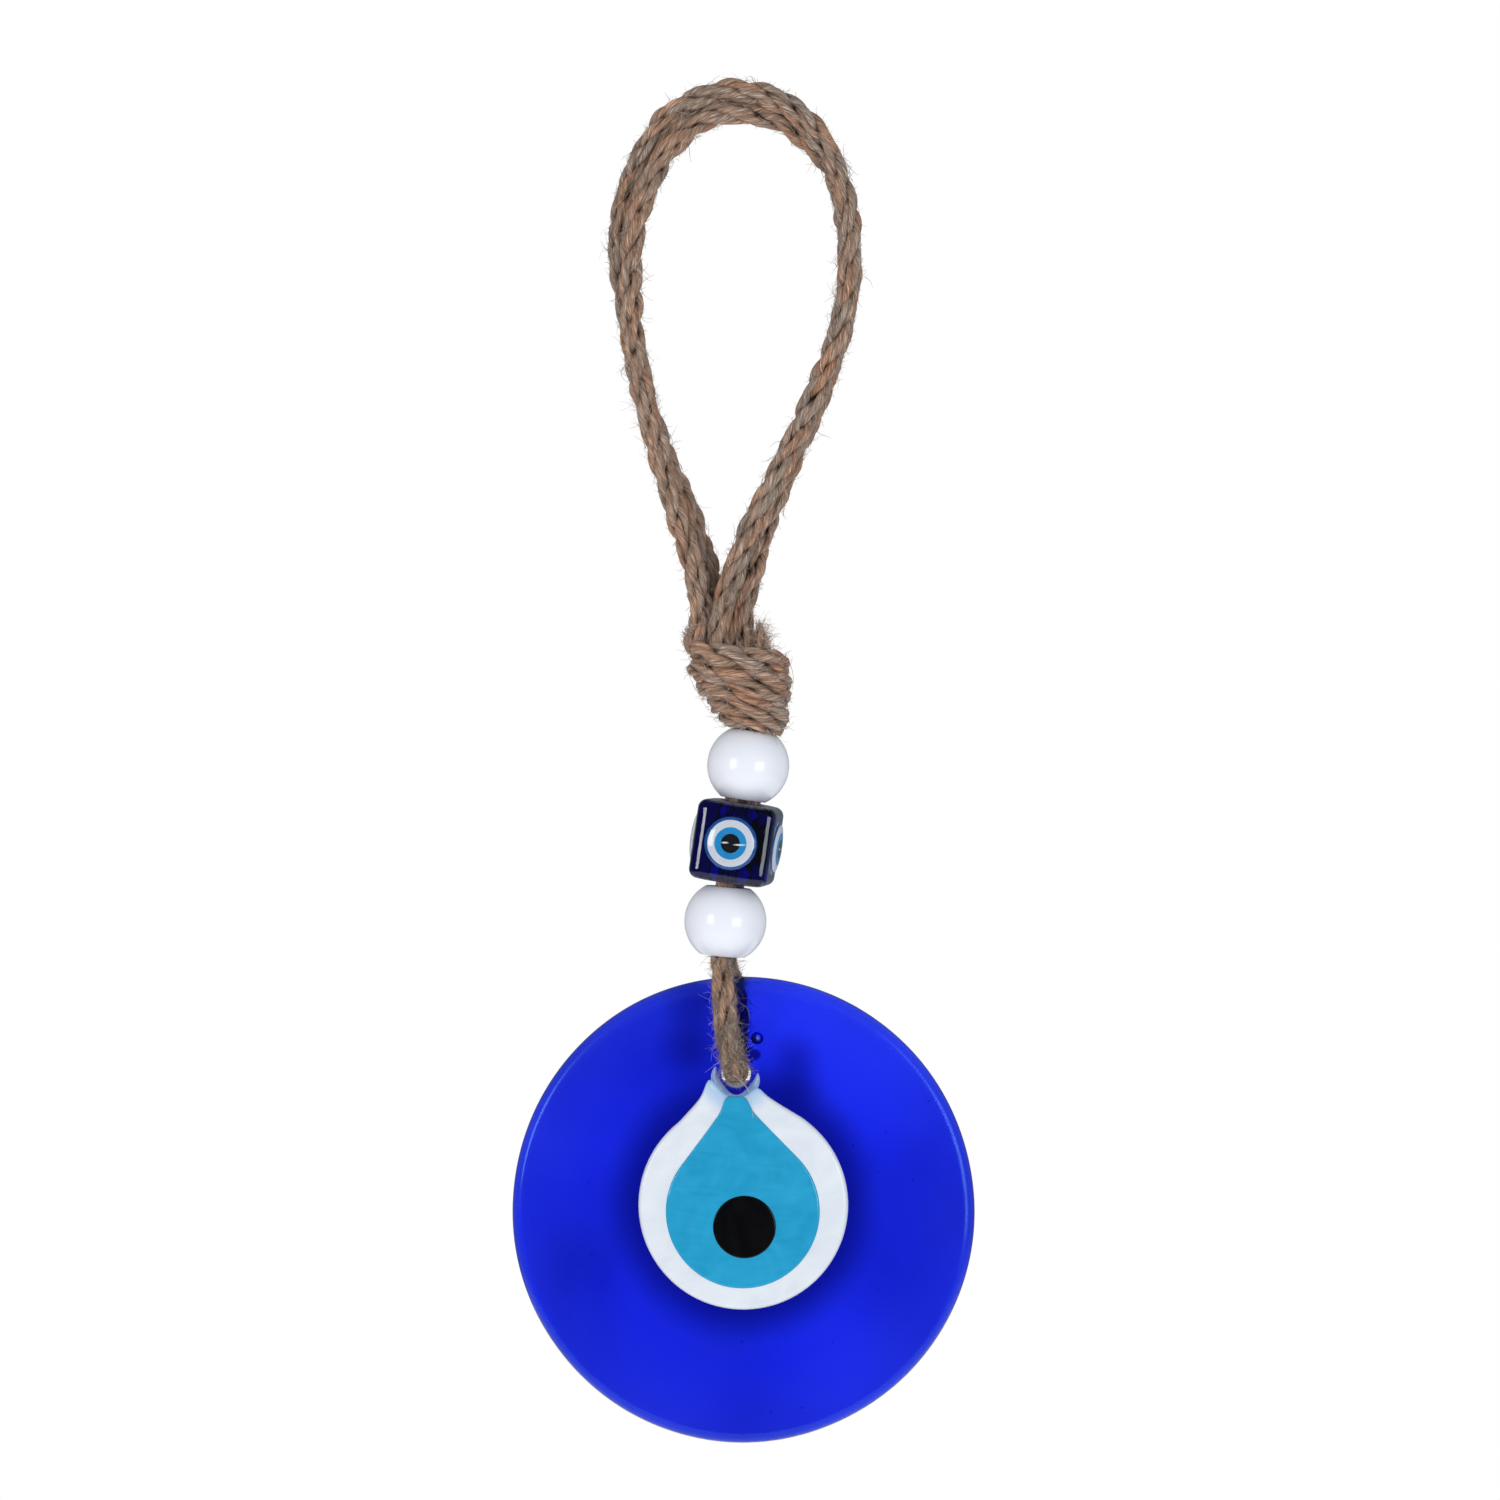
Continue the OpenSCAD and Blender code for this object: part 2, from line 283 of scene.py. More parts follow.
def fuzz_material(name, light=1.0):
    """Loose fibres, pale with a few brown ones. The UV map "hair" holds a random number for each."""
    s = Shader(name)
    split = s.node("SeparateXYZ", {0: s.surface_coords("hair")})
    along = s.noise(s.mapped(s.surface_coords(), (900, 900, 900)), 1.0, 2.0)
    tone = s.ramp(split.outputs["X"], (0.0, (0.11, 0.06, 0.035)), (0.30, (0.32, 0.21, 0.15)),
                  (0.65, (0.42, 0.32, 0.25)), (1.0, (0.66, 0.58, 0.53)))
    tone = s.mix(0.35, tone, s.mix(1.0, tone, along, "MULTIPLY"))
    s.set(Base_Color=s.mix(1.0, tone, (light, light, light), "MULTIPLY"),
          Roughness=0.42, Sheen_Weight=0.2)
    return s.material


def white_bead_material():
    """Thick glossy white paint with a slight orange peel."""
    s = Shader("white_paint")
    coords = s.surface_coords()
    cloud = s.noise(coords, 160, 3.0)
    s.set(Base_Color=s.ramp(cloud, (0.3, (0.755, 0.775, 0.845)), (0.7, (0.78, 0.80, 0.865))),
          Roughness=s.patchy(coords, 420, 0.30, 0.40),
          Coat_Weight=0.7, Coat_Roughness=0.15, Specular_IOR_Level=0.3)
    s.bump(s.noise(coords, 700, 2.0), 0.00002, 0.35)
    return s.material


def navy_material():
    """Clear deep blue acrylic with faint flow lines."""
    s = Shader("navy_acrylic")
    coords = s.surface_coords()
    flow = s.noise(s.mapped(coords, (420, 420, 60)), 1.0, 2.0, 0.5, 0.4)
    s.set(Base_Color=s.ramp(flow, (0.35, (0.42, 0.45, 0.95)), (0.7, (0.62, 0.66, 1.0))),
          Roughness=s.patchy(coords, 900, 0.02, 0.07, (0.35, 0.7)),
          Transmission_Weight=1.0, IOR=1.49)
    s.bump(s.noise(coords, 260, 2.0), 0.00003, 0.25)
    s.absorb((0.0, 0.0, 0.78), 900)
    return s.material


def dome_material():
    """Clear resin lens."""
    s = Shader("clear_resin")
    coords = s.surface_coords()
    s.set(Base_Color=s.ramp(s.noise(coords, 500, 2.0), (0.3, (0.93, 0.96, 1)), (0.7, (0.98, 0.99, 1))),
          Roughness=s.patchy(coords, 1200, 0.01, 0.05, (0.35, 0.7)),
          Transmission_Weight=1.0, IOR=1.45)
    return s.material


# Middle and half length of each painted glint on a small eye, in centimetres to the right of its middle
PAINTED_GLINTS = [(0.185, 0.16), (-0.105, 0.09)]
PAINTED_GLINT_HALF_HEIGHT = 0.024
PAINTED_GLINT_TURN = math.radians(7)


def print_material(name, dark, light):
    """A printed layer of a small eye, with two thin painted highlights: near-white streaks in its colour.

    The UV map "face" holds the place on the cube's face, in centimetres from the eye's middle.
    """
    s = Shader(name)
    uv = s.surface_coords("face")
    tone = s.ramp(s.noise(uv, 34.0, 3.0), (0.35, dark), (0.68, light))
    # Painted highlights: each glint mixes a near-white streak into the print's colour.
    for middle, reach in PAINTED_GLINTS:
        across = s.mapped(uv, (1 / reach, 1 / PAINTED_GLINT_HALF_HEIGHT, 1), PAINTED_GLINT_TURN, (middle, 0, 0))
        tone = s.mix(s.near(across, (0, 0, 0), 0.35, 1.0, 0.95), tone, (0.90, 0.93, 0.97))
    s.set(Base_Color=tone, Roughness=s.patchy(uv, 60.0, 0.25, 0.40), Specular_IOR_Level=0.05)
    return s.material


# Paler parts of the disc, and deeper ones that are painted shade: X and Z of the middle, the
# distance from it where the part begins to fade and where it ends, in millimetres, and its strength
PALE_GLASS = [(13, -175, 2, 14, 0.95), (22, -186, 2, 20, 0.8), (3.5, -172, 1, 6, 0.6),
              (-26, -195, 2, 18, 0.3), (20, -238, 2, 22, 0.55), (-12, -245, 2, 18, 0.35)]
PAINTED_SHADE_GLASS = [(1, -210, 20.2, 29, 0.8), (-8, -171, 0, 9, 0.8), (-9, -180, 0, 9.5, 0.8),
              (11, -182, 0, 7, 0.65), (11, -188, 0, 8, 0.75), (-32, -222, 1, 12, 0.25),
              (2.5, -180.8, 2.46, 2.64, 0.9), (3.5, -181.4, 2.46, 2.66, 0.95)]
CLEAR_GLASS = (0.9, -212.3, 42.0, 44.4)    # beyond it the rim is rougher


def cobalt_material():
    """Cast cobalt glass: painted shade deepens it round the eye and beside the rope hole, paler on the
    upper right and along the rim, cloudy in between, with a slightly uneven skin."""
    s = Shader("cobalt_glass")
    coords = s.surface_coords()

    def part(x, z, inner, outer, most=1.0):
        return s.near(coords, (x * MM, 0, z * MM), inner * MM, outer * MM, most)

    clouds = s.noise(s.mapped(coords, (26, 26, 26)), 1.0, 3.0, 0.5, 0.8)
    body = s.ramp(clouds, (0.30, (0.45, 0.50, 0.60)), (0.50, (0.55, 0.62, 0.74)),
                  (0.72, (0.72, 0.82, 0.90)))
    # The deep parts are painted shade and shadow: a dark blue mixed in round the eye and beside the rope
    # and its hole.
    for places, colour in ((PALE_GLASS, (0.95, 1, 1)), (PAINTED_SHADE_GLASS, (0.10, 0.08, 0.22))):
        for place in places:
            body = s.mix(part(*place), body, colour)
    skin = s.patchy(coords, 300, 0.02, 0.06, (0.35, 0.7))
    s.set(Base_Color=body, Roughness=s.mix(part(*CLEAR_GLASS), (0.26, 0.26, 0.26), skin),
          Transmission_Weight=1.0, IOR=1.5, Specular_Tint=(0.28, 0.55, 1.0, 1.0))
    s.bump(s.noise(coords, 70, 2.0, 0.5, 0.3), 0.0006, 0.25)
    s.absorb((0.0, 0.17, 0.985), 900)
    return s.material


def opal_material(name, dark, light, lines=0.0, shine=0.35, milky=None):
    """Opaque coloured glass, with faint swirls where it was dropped and pressed. milky is the place
    that turns milky, how far it is so fully, and where that ends."""
    s = Shader(name)
    coords = s.surface_coords()
    turbid = s.noise(s.mapped(coords, (60, 60, 60)), 1.0, 3.0, 0.5, 2.2 + lines)
    tone = s.ramp(turbid, (0.32, dark), (0.68, light))
    streak = s.noise(s.mapped(coords, (45, 45, 210)), 1.0, 3.0, 0.5, 3.0)
    tone = s.mix(0.10 + 0.2 * lines, tone, s.ramp(streak, (0.4, dark), (0.6, light)))
    if milky:
        tone = s.mix(s.near(coords, *milky, 0.9), tone, (0.36, 0.53, 0.74))
    s.set(Base_Color=tone, Roughness=s.patchy(coords, 350, 0.10, 0.22), Specular_IOR_Level=shine)
    s.bump(s.noise(coords, 110, 2.0), 0.0003, 0.12)
    return s.material


def veil_material():
    """Thin milky glass, drawn out round the rope hole."""
    s = Shader("milky_glass")
    coords = s.surface_coords()
    cloud = s.noise(coords, 260, 3.0, 0.5, 1.0)
    s.set(Base_Color=s.ramp(cloud, (0.3, (0.30, 0.50, 0.82)), (0.7, (0.62, 0.76, 0.92))),
          Roughness=s.patchy(coords, 400, 0.08, 0.2), Transmission_Weight=0.55, IOR=1.5)
    return s.material


def shade_film_material():
    """Frosted grey-blue sheet, painted shade for the rope hole, thin enough to let some light through."""
    s = Shader("frosted_shade_skin")
    coords = s.surface_coords()
    cloud = s.noise(coords, 900, 3.0)
    s.set(Base_Color=s.ramp(cloud, (0.3, (0.24, 0.27, 0.36)), (0.7, (0.40, 0.43, 0.52))),
          Roughness=s.patchy(coords, 500, 0.35, 0.5), Transmission_Weight=0.5, IOR=1.3)
    return s.material


def floor_material():
    """Matt near-white board."""
    s = Shader("pale_floor")
    cloud = s.noise(s.surface_coords(), 6, 3.0)
    s.set(Base_Color=s.ramp(cloud, (0.3, (0.88, 0.88, 0.88)), (0.7, (0.90, 0.90, 0.90))),
          Roughness=0.9, Specular_IOR_Level=0.0, Emission_Color=(1, 1, 1, 1), Emission_Strength=0.25)
    return s.material


# ---------------------------------------------------------------- mesh helpers

def mesh_object(name, points, faces, material):
    """A new smooth-shaded piece of one material."""
    mesh = bpy.data.meshes.new(name)
    mesh.from_pydata([tuple(p) for p in points], [], faces)
    mesh.validate()
    mesh.polygons.foreach_set("use_smooth", [True] * len(mesh.polygons))
    mesh.materials.append(material)
    made = bpy.data.objects.new(name, mesh)
    bpy.context.scene.collection.objects.link(made)
    return made


def add_uv(made, name, values):
    """Gives each vertex one UV pair, in a map of that name."""
    layer = made.data.uv_layers.new(name=name)
    index = np.empty(len(made.data.loops), np.int64)
    made.data.loops.foreach_get("vertex_index", index)
    layer.data.foreach_set("uv", np.asarray(values, np.float32)[index].ravel())


def settle(made, body, slot, *nodes):
    """The piece rides on the body and stands for the CAD nodes, which it hides."""
    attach(made, body)
    if nodes:
        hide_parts(*nodes)


def unit(rows):
    """Each row, scaled to length 1."""
    return rows / np.linalg.norm(rows, axis=1)[:, None]


def tube_faces(rings, sides, start=0):
    """Quads between the rings of a tube, and a fan of one face at each end."""
    faces = []
    for i in range(rings - 1):
        a = start + i * sides
        for k in range(sides):
            n = (k + 1) % sides
            faces.append((a + k, a + n, a + sides + n, a + sides + k))
    faces.append(tuple(start + k for k in reversed(range(sides))))
    faces.append(tuple(start + (rings - 1) * sides + k for k in range(sides)))
    return faces


def band(a, b, count):
    """Quads between two closed rings of that many points, whose first points are a and b."""
    return [(a + i, b + i, b + (i + 1) % count, a + (i + 1) % count) for i in range(count)]


def torus_faces(starts, count):
    """Quads from each ring to the next, and from the last to the first."""
    return [quad for a, b in zip(starts, [*starts[1:], starts[0]]) for quad in band(a, b, count)]


def shell_faces(around, across, flip=False):
    """Faces of a thin closed shell: a grid of points in rows of across + 1, and the same behind it."""
    row = across + 1
    layer = (around + 1) * row
    faces = []
    for a in (i * row + j for i in range(around) for j in range(across)):
        b = a + row
        quad = (a, a + 1, b + 1, b) if flip else (a, b, b + 1, a + 1)
        faces += [quad, tuple(layer + i for i in reversed(quad))]
    grid = np.arange(layer).reshape(around + 1, row)
    sides = grid[:-1, 0], grid[-1, :-1], grid[:0:-1, -1], grid[0, :0:-1]
    edge = np.concatenate(sides).tolist()
    for a, b in zip(edge, edge[1:] + edge[:1]):
        quad = (layer + a, layer + b, b, a)
        faces.append(quad[::-1] if flip else quad)
    return faces


def joined(parts):
    """Meshes of (points, faces, one or more UV maps) as one mesh."""
    faces, start = [], 0
    for points, part_faces, *_ in parts:
        faces.extend(tuple(i + start for i in face) for face in part_faces)
        start += len(points)
    points, _, *maps = zip(*parts)
    return np.concatenate(points), faces, *(np.concatenate(uvs) for uvs in maps)


# ---------------------------------------------------------------- rope

class Line:
    """A smooth curve through points in millimetres, sampled every "step" metres, with a frame that
    doesn't twist and each point's share of the rope's radius."""

    def __init__(self, route, step=0.4 * MM):
        rows = np.array([list(p) + [1.0] * (4 - len(p)) for p in route], float)
        rows[:, :3] *= MM
        dense = self._through(rows)
        length = np.concatenate([[0], np.cumsum(np.linalg.norm(np.diff(dense[:, :3], axis=0), axis=1))])
        count = max(4, int(round(length[-1] / step)) + 1)
        self.s = np.linspace(0, length[-1], count)
        self.length = length[-1]
        sampled = np.stack([np.interp(self.s, length, dense[:, k]) for k in range(4)], axis=1)
        self.p = sampled[:, :3]
        self.share = sampled[:, 3]
        self.t = unit(np.gradient(self.p, axis=0))
        self._frames()

    @staticmethod
    def _through(rows, per=24):
        """Centripetal Catmull-Rom through the rows."""
        ends = [2 * rows[0] - rows[1], *rows, 2 * rows[-1] - rows[-2]]
        made = []
        for a, b, c, d in zip(ends, ends[1:], ends[2:], ends[3:]):
            t0 = 0.0
            t1 = t0 + math.sqrt(np.linalg.norm(b[:3] - a[:3]) + 1e-12)
            t2 = t1 + math.sqrt(np.linalg.norm(c[:3] - b[:3]) + 1e-12)
            t3 = t2 + math.sqrt(np.linalg.norm(d[:3] - c[:3]) + 1e-12)
            t = np.linspace(t1, t2, per, endpoint=False)[:, None]
            ab = (t1 - t) / (t1 - t0) * a + (t - t0) / (t1 - t0) * b
            bc = (t2 - t) / (t2 - t1) * b + (t - t1) / (t2 - t1) * c
            cd = (t3 - t) / (t3 - t2) * c + (t - t2) / (t3 - t2) * d
            abc = (t2 - t) / (t2 - t0) * ab + (t - t0) / (t2 - t0) * bc
            bcd = (t3 - t) / (t3 - t1) * bc + (t - t1) / (t3 - t1) * cd
            made.extend((t2 - t) / (t2 - t1) * abc + (t - t1) / (t2 - t1) * bcd)
        made.append(rows[-1])
        return np.array(made)

    def _frames(self):
        side = np.cross(self.t[0], (0, 1, 0))
        if np.linalg.norm(side) < 0.1:
            side = np.cross(self.t[0], (1, 0, 0))
        u = side / np.linalg.norm(side)
        self.u = np.empty_like(self.p)
        for i, t in enumerate(self.t):
            u = u - t * (u @ t)
            u = u / np.linalg.norm(u)
            self.u[i] = u
        self.v = np.cross(self.t, self.u)

    def points(self, every=8):
        """The curve's own points, every few along it and the last one."""
        kept = list(range(0, len(self.p), every))
        if kept[-1] != len(self.p) - 1:
            kept.append(len(self.p) - 1)
        return self.p[kept]


def ridges(rng, phi, s):
    """Relief of a yarn's fibre bundles, about -1 to 1: uneven ridges that run along it."""
    total = np.zeros(np.broadcast(phi, s).shape)
    weight = 0.0
    for crests in (2, 3, 4, 5):
        for _ in range(2):
            amp = rng.uniform(0.4, 1.0) / math.sqrt(crests)
            drift = rng.normal(0, 260)
            total = total + amp * np.cos(crests * phi + drift * s + rng.uniform(0, 6.3))
            weight += amp * amp
    return total / math.sqrt(2 * weight)


def swell(rng, s, wave, count=5):
    """A slow random wander along s, about -1 to 1, with that wavelength."""
    total = np.zeros_like(s)
    for _ in range(count):
        total = total + np.cos(2 * math.pi * s / (wave * rng.uniform(0.6, 1.7)) + rng.uniform(0, 6.3))
    return total / math.sqrt(count)


def laid_rope(line, seed, phase=0.0, flat=None, spread=None):
    """Points, faces and UVs of a rope along a line: three strands, each of three yarns.

    flat is (axis, factor), which squeezes the section along that direction. spread is (centre,
    reach, factor, shift), which widens the section in X round that point and moves it along X.
    """
    rng = np.random.RandomState(seed)
    s = line.s
    reach = ROPE_R * line.share
    phi = np.linspace(-math.pi, math.pi, YARN_SIDES, endpoint=False)
    points, faces, around, place = [], [], [], []
    for k in range(3):
        angle = phase + 2 * math.pi * (k / 3 + s / LAY_PITCH) + 0.16 * swell(rng, s, 0.03)
        out = np.cos(angle)[:, None] * line.u + np.sin(angle)[:, None] * line.v
        apart = STRAND_OUT * reach * (1 + 0.07 * swell(rng, s, 0.02))
        centre = line.p + apart[:, None] * out
        along = unit(np.gradient(centre, axis=0))
        radial = unit(out - along * np.sum(out * along, axis=1)[:, None])
        across = np.cross(along, radial)
        for m in range(3):
            turn = phase + 2 * math.pi * (m / 3 - s / YARN_PITCH) + 0.45 * swell(rng, s, 0.016)
            away = YARN_OUT * reach * (1 + 0.20 * swell(rng, s, 0.011))
            aside = np.cos(turn)[:, None] * radial + np.sin(turn)[:, None] * across
            yarn = centre + away[:, None] * aside
            thick = YARN_THICK * reach * (1 + 0.12 * swell(rng, s, 0.009))
            size = thick[:, None] * (1 + 0.12 * ridges(rng, phi[None, :], s[:, None]))
            facing = phi[None, :] + turn[:, None]
            ring = (yarn[:, None, :] + (size * np.cos(facing))[:, :, None] * radial[:, None, :]
                    + (size * np.sin(facing))[:, :, None] * across[:, None, :])
            gap = ring - line.p[:, None, :]
            depth = np.linalg.norm(gap, axis=2) / reach[:, None]
            if flat is not None:
                axis = np.array(flat[0], float)
                ring = ring - (1 - flat[1]) * (gap @ axis)[:, :, None] * axis
            if spread is not None:
                there = np.linalg.norm(line.p - np.array(spread[0]) * MM, axis=1) / (spread[1] * MM)
                weight = np.exp(-there ** 2)[:, None]
                ring[:, :, 0] += weight * ((spread[2] - 1) * gap[:, :, 0] + spread[3] * MM)
            start = sum(len(p) for p in points)
            points.append(ring.reshape(-1, 3))
            faces.extend(tube_faces(len(s), YARN_SIDES, start))
            round_cm = np.broadcast_to(phi[None, :] * YARN_R * 100, depth.shape)
            along_cm = np.broadcast_to(s[:, None] * 100 + 3.7 * k + 9.1 * m, depth.shape)
            tone = np.full(depth.shape, rng.uniform(0, 1))
            around.append(np.stack([round_cm.ravel(), along_cm.ravel()], axis=1))
            place.append(np.stack([depth.ravel(), tone.ravel()], axis=1))
    return np.concatenate(points), faces, np.concatenate(around), np.concatenate(place)


def rope_object(name, parts, material):
    """Several ropes as one object."""
    points, faces, around, place = joined(parts)
    made = mesh_object(name, points, faces, material)
    add_uv(made, "yarn", around)
    add_uv(made, "place", place)
    return made


def hair(start, direction, length, curl, rng):
    """The points of one loose fibre."""
    points = [np.array(start, float)]
    d = direction / np.linalg.norm(direction)
    axis = np.array([rng.gauss(0, 1) for _ in range(3)])
    axis /= np.linalg.norm(axis)
    for _ in range(HAIR_SEGMENTS):
        points.append(points[-1] + d * length / HAIR_SEGMENTS)
        wobble = np.array([rng.gauss(0, 0.22) for _ in range(3)])
        d = d + curl * np.cross(axis, d) + wobble
        d /= np.linalg.norm(d)
    return points


def hairs_on(line, per_mm, length, seed, spread=(0.0, 1.0), lift=(0.25, 1.0)):
    """Loose fibres at random on the rope that follows a line."""
    rng = random.Random(seed)
    made = []
    count = int(line.length / MM * per_mm)
    for _ in range(count):
        i = min(len(line.p) - 1, int(rng.uniform(*spread) * len(line.p)))
        a = rng.uniform(0, 2 * math.pi)
        out = math.cos(a) * line.u[i] + math.sin(a) * line.v[i]
        sideways = np.cross(line.t[i], out)
        root = line.p[i] + out * ROPE_R * line.share[i] * 0.93
        direction = (out * rng.uniform(*lift) + line.t[i] * rng.choice((-1, 1)) * rng.uniform(0.3, 1.0)
                     + sideways * rng.gauss(0, 0.35))
        size = rng.uniform(*length) * MM
        made.append(hair(root, direction, size, rng.uniform(-0.35, 0.35), rng))
    return made


def hair_object(name, strokes, material, seed):
    """All the fibres as one mesh of thin three-sided tubes that taper to their tips."""
    rng = random.Random(seed)
    points, faces, uvs = [], [], []
    for stroke in strokes:
        tone = rng.random()
        fat = HAIR_R * rng.uniform(0.7, 1.35)
        start = len(points)
        last = len(stroke) - 1
        for i, p in enumerate(stroke):
            along = stroke[min(i + 1, last)] - stroke[max(i - 1, 0)]
            u = np.cross(along, (0.3, 1.0, 0.2))
            u /= np.linalg.norm(u) + 1e-12
            v = np.cross(along, u)
            v /= np.linalg.norm(v) + 1e-12
            r = fat * (1 - 0.65 * i / last)
            for k in range(3):
                a = 2 * math.pi * k / 3
                points.append(p + r * (math.cos(a) * u + math.sin(a) * v))
                uvs.append((tone, i / last))
        faces.extend(tube_faces(len(stroke), 3, start))
    made = mesh_object(name, points, faces, material)
    add_uv(made, "hair", uvs)
    return made


# The routes are those of the CAD ropes, in millimetres. A fourth number is the share of the free
# rope's radius left there.
INNER_ROUTE = [
    (-6.9, -1.2, -104), (-7.2, -1.4, -97), (-8.5, -1.6, -87), (-12.1, -1.9, -75.5),
    (-15.8, -2.2, -63), (-18.8, -2.3, -51), (-20.6, -2.2, -40), (-21.0, -2.0, -31),
    (-20.3, -1.6, -22), (-17.6, -1.2, -12.5), (-13.0, -0.7, -4.5), (-6.5, -0.2, 1.0),
    (1.0, 0.4, 2.3), (8.0, 1.3, 0.8), (14.0, 1.9, -3.0), (18.8, 2.2, -9.5), (21.2, 2.3, -18),
    (21.8, 2.3, -28), (20.1, 2.3, -40), (15.8, 2.3, -52.5), (10.7, 2.1, -64.5),
    (6.0, 1.8, -76.5), (2.2, 1.1, -88.5), (0.8, 0.5, -97), (0.6, 0.3, -104)]
OUTER_ROUTE = [
    (-4.0, 3.0, -104), (-4.2, 3.2, -97), (-5.8, 3.0, -87), (-9.7, 2.5, -75.5),
    (-14.9, 2.3, -63), (-18.8, 2.3, -51), (-21.1, 2.3, -40), (-22.5, 2.3, -31),
    (-23.3, 2.0, -22.5), (-21.8, 1.7, -13.5), (-18.3, 1.4, -5), (-13.0, 1.0, 2.2),
    (-6.0, 0.4, 5.6), (1.0, -0.4, 6.4), (8.0, -1.3, 4.3), (14.0, -1.9, -0.4),
    (18.5, -2.2, -7.2), (21.0, -2.3, -16), (21.6, -2.3, -26), (20.3, -2.3, -38),
    (16.0, -2.3, -50.5), (10.4, -2.4, -63), (4.4, -2.6, -75), (-0.7, -2.9, -87),
    (-3.5, -3.1, -96.5), (-3.9, -3.0, -104)]
DROP_ROUTE = [
    (1.1, 0, -115, 0.84), (0.1, -0.5, -125, 0.84), (-0.9, -0.9, -132.3, 0.84),
    (-1.8, -1.3, -140, 0.84), (-2.8, -1.5, -147.9, 0.82), (-3.4, -1.7, -155.4, 0.82),
    (-3.6, -1.8, -162.2, 0.8), (-3.3, -2.8, -164, 0.84), (-3.1, -4.0, -165.6, 0.9),
    (-2.9, -4.9, -167.4, 0.94), (-2.7, -5.1, -171, 0.98), (-2.2, -5.1, -176, 0.98),
    (-1.5, -5.0, -179.9, 0.94), (-1.0, -4.4, -182.1, 0.9), (-0.8, -2.9, -183.6, 0.9),
    (-0.6, -1.1, -184, 0.9), (-0.6, 1.1, -184, 0.9), (-0.5, 2.9, -183.6, 0.9),
    (-0.4, 4.4, -182.1, 0.9), (-0.3, 5.0, -179.9, 0.94), (-0.3, 5.1, -176, 0.98),
    (-0.6, 5.1, -171, 0.98), (-1.3, 4.9, -167.4, 0.94), (-1.7, 4.0, -165.6, 0.9),
    (-2.1, 2.8, -164, 0.84), (-2.4, 1.8, -162.2, 0.8), (-1.8, 1.7, -155.4, 0.82),
    (-0.6, 1.5, -147.9, 0.82), (1.1, 1.3, -140, 0.84), (2.6, 0.9, -132.3, 0.84),
    (3.9, 0.5, -125, 0.84), (5.0, 0, -115, 0.84)]
TAIL_ROUTES = [[(4.9, -1.2, -104, 0.9), (4.5, -1.5, -100.5, 0.88), (4.2, -1.8, -97.4, 0.8)],
               [(3.6, 5.4, -104, 0.85), (3.4, 5.6, -101, 0.88), (3.2, 5.8, -98.8, 0.9)]]

# A yarn that lies in the groove between the two ropes at the top of the loop
GROOVE_ROUTE = [
    (-20.0, 0.9, -14.0, 0.3), (-19.0, 0.9, -11.0, 0.45), (-14.8, 0.9, -3.1, 0.5),
    (-11.4, 0.8, 0.4, 0.5), (-7.6, 0.8, 3.1, 0.5), (-3.2, 0.7, 4.3, 0.5), (1.0, 0.6, 4.4, 0.5),
    (6.0, 0.4, 3.8, 0.4), (9.0, 0.2, 2.6, 0.3)]
# A loose yarn under the drop rope, in the lower half of the disc's hole
BEND_ROUTE = [
    (-2.45, -0.8, -183.9, 0.18), (-2.55, -0.8, -184.7, 0.18), (-2.4, -0.8, -185.5, 0.21),
    (-1.8, -0.8, -186.2, 0.21), (-0.9, -0.8, -186.4, 0.21), (0.0, -0.8, -186.4, 0.21),
    (0.85, -0.8, -186.2, 0.21), (1.5, -0.8, -185.5, 0.21), (1.65, -0.8, -184.6, 0.18),
    (1.55, -0.8, -183.8, 0.18)]
# Where the drop rope is wider, in the disc's hole: the middle of that stretch and its reach in
# millimetres, how many times wider it is, and how far to +X it stands
HOLE_SPREAD = ((-0.6, 0.6, -183.9), 3.6, 1.1, 0.1)

# Rope in the knot's foot, round which the lowest turns lie, and between the ropes over its top
PLUG_ROUTE = [
    (3.0, 0, -111, 0.8), (3.0, 0, -115, 0.85), (2.9, -0.1, -118.5, 0.8), (2.6, -0.2, -122, 0.7)]
FILLER_ROUTE = [
    (-0.6, -0.1, -88.0, 0.3), (-0.8, -0.2, -91.0, 0.5), (-1.2, -0.4, -93.5, 0.6),
    (-1.3, -0.6, -97, 0.6), (-1.3, -0.6, -101, 0.75), (-1.2, -0.4, -106, 0.8)]

jute = jute_material("jute", 0.0, (0.94, 0.94, 0.94))
jute_drop = jute_material("jute_of_the_drop", 0.0, (1.04, 0.95, 0.83))
jute_knot = jute_material("jute_of_the_knot", 11.0, (0.95, 0.95, 0.95))
jute_end = jute_material("jute_cut_end", 5.0, (1.15, 1.15, 1.15))
fuzz = fuzz_material("jute_fuzz")
# Paler frayed fibres for the tail tuft, brightened 1.9 times beyond their tone: painted light against the
# dense tuft's own shade.
brightened_pale_fuzz = fuzz_material("jute_fuzz_pale_brightened", 1.9)

inner_line = Line(INNER_ROUTE)
outer_line = Line(OUTER_ROUTE)
drop_line = Line(DROP_ROUTE)

loop_inner = rope_object("loop_rope_inner_laid", [laid_rope(inner_line, 11)], jute)
loop_outer = rope_object(
    "loop_rope_outer_laid",
    [laid_rope(outer_line, 12, phase=0.9), laid_rope(Line(GROOVE_ROUTE), 14)], jute)
drop = rope_object(
    "drop_rope_laid",
    [laid_rope(drop_line, 13, phase=0.4, spread=HOLE_SPREAD),
     laid_rope(Line(BEND_ROUTE, 0.2 * MM), 15)], jute_drop)
settle(loop_inner, "rope", "jute_rope", "loop_rope_inner")
settle(loop_outer, "rope", "jute_rope", "loop_rope_outer")
settle(drop, "rope", "jute_rope", "drop_rope")


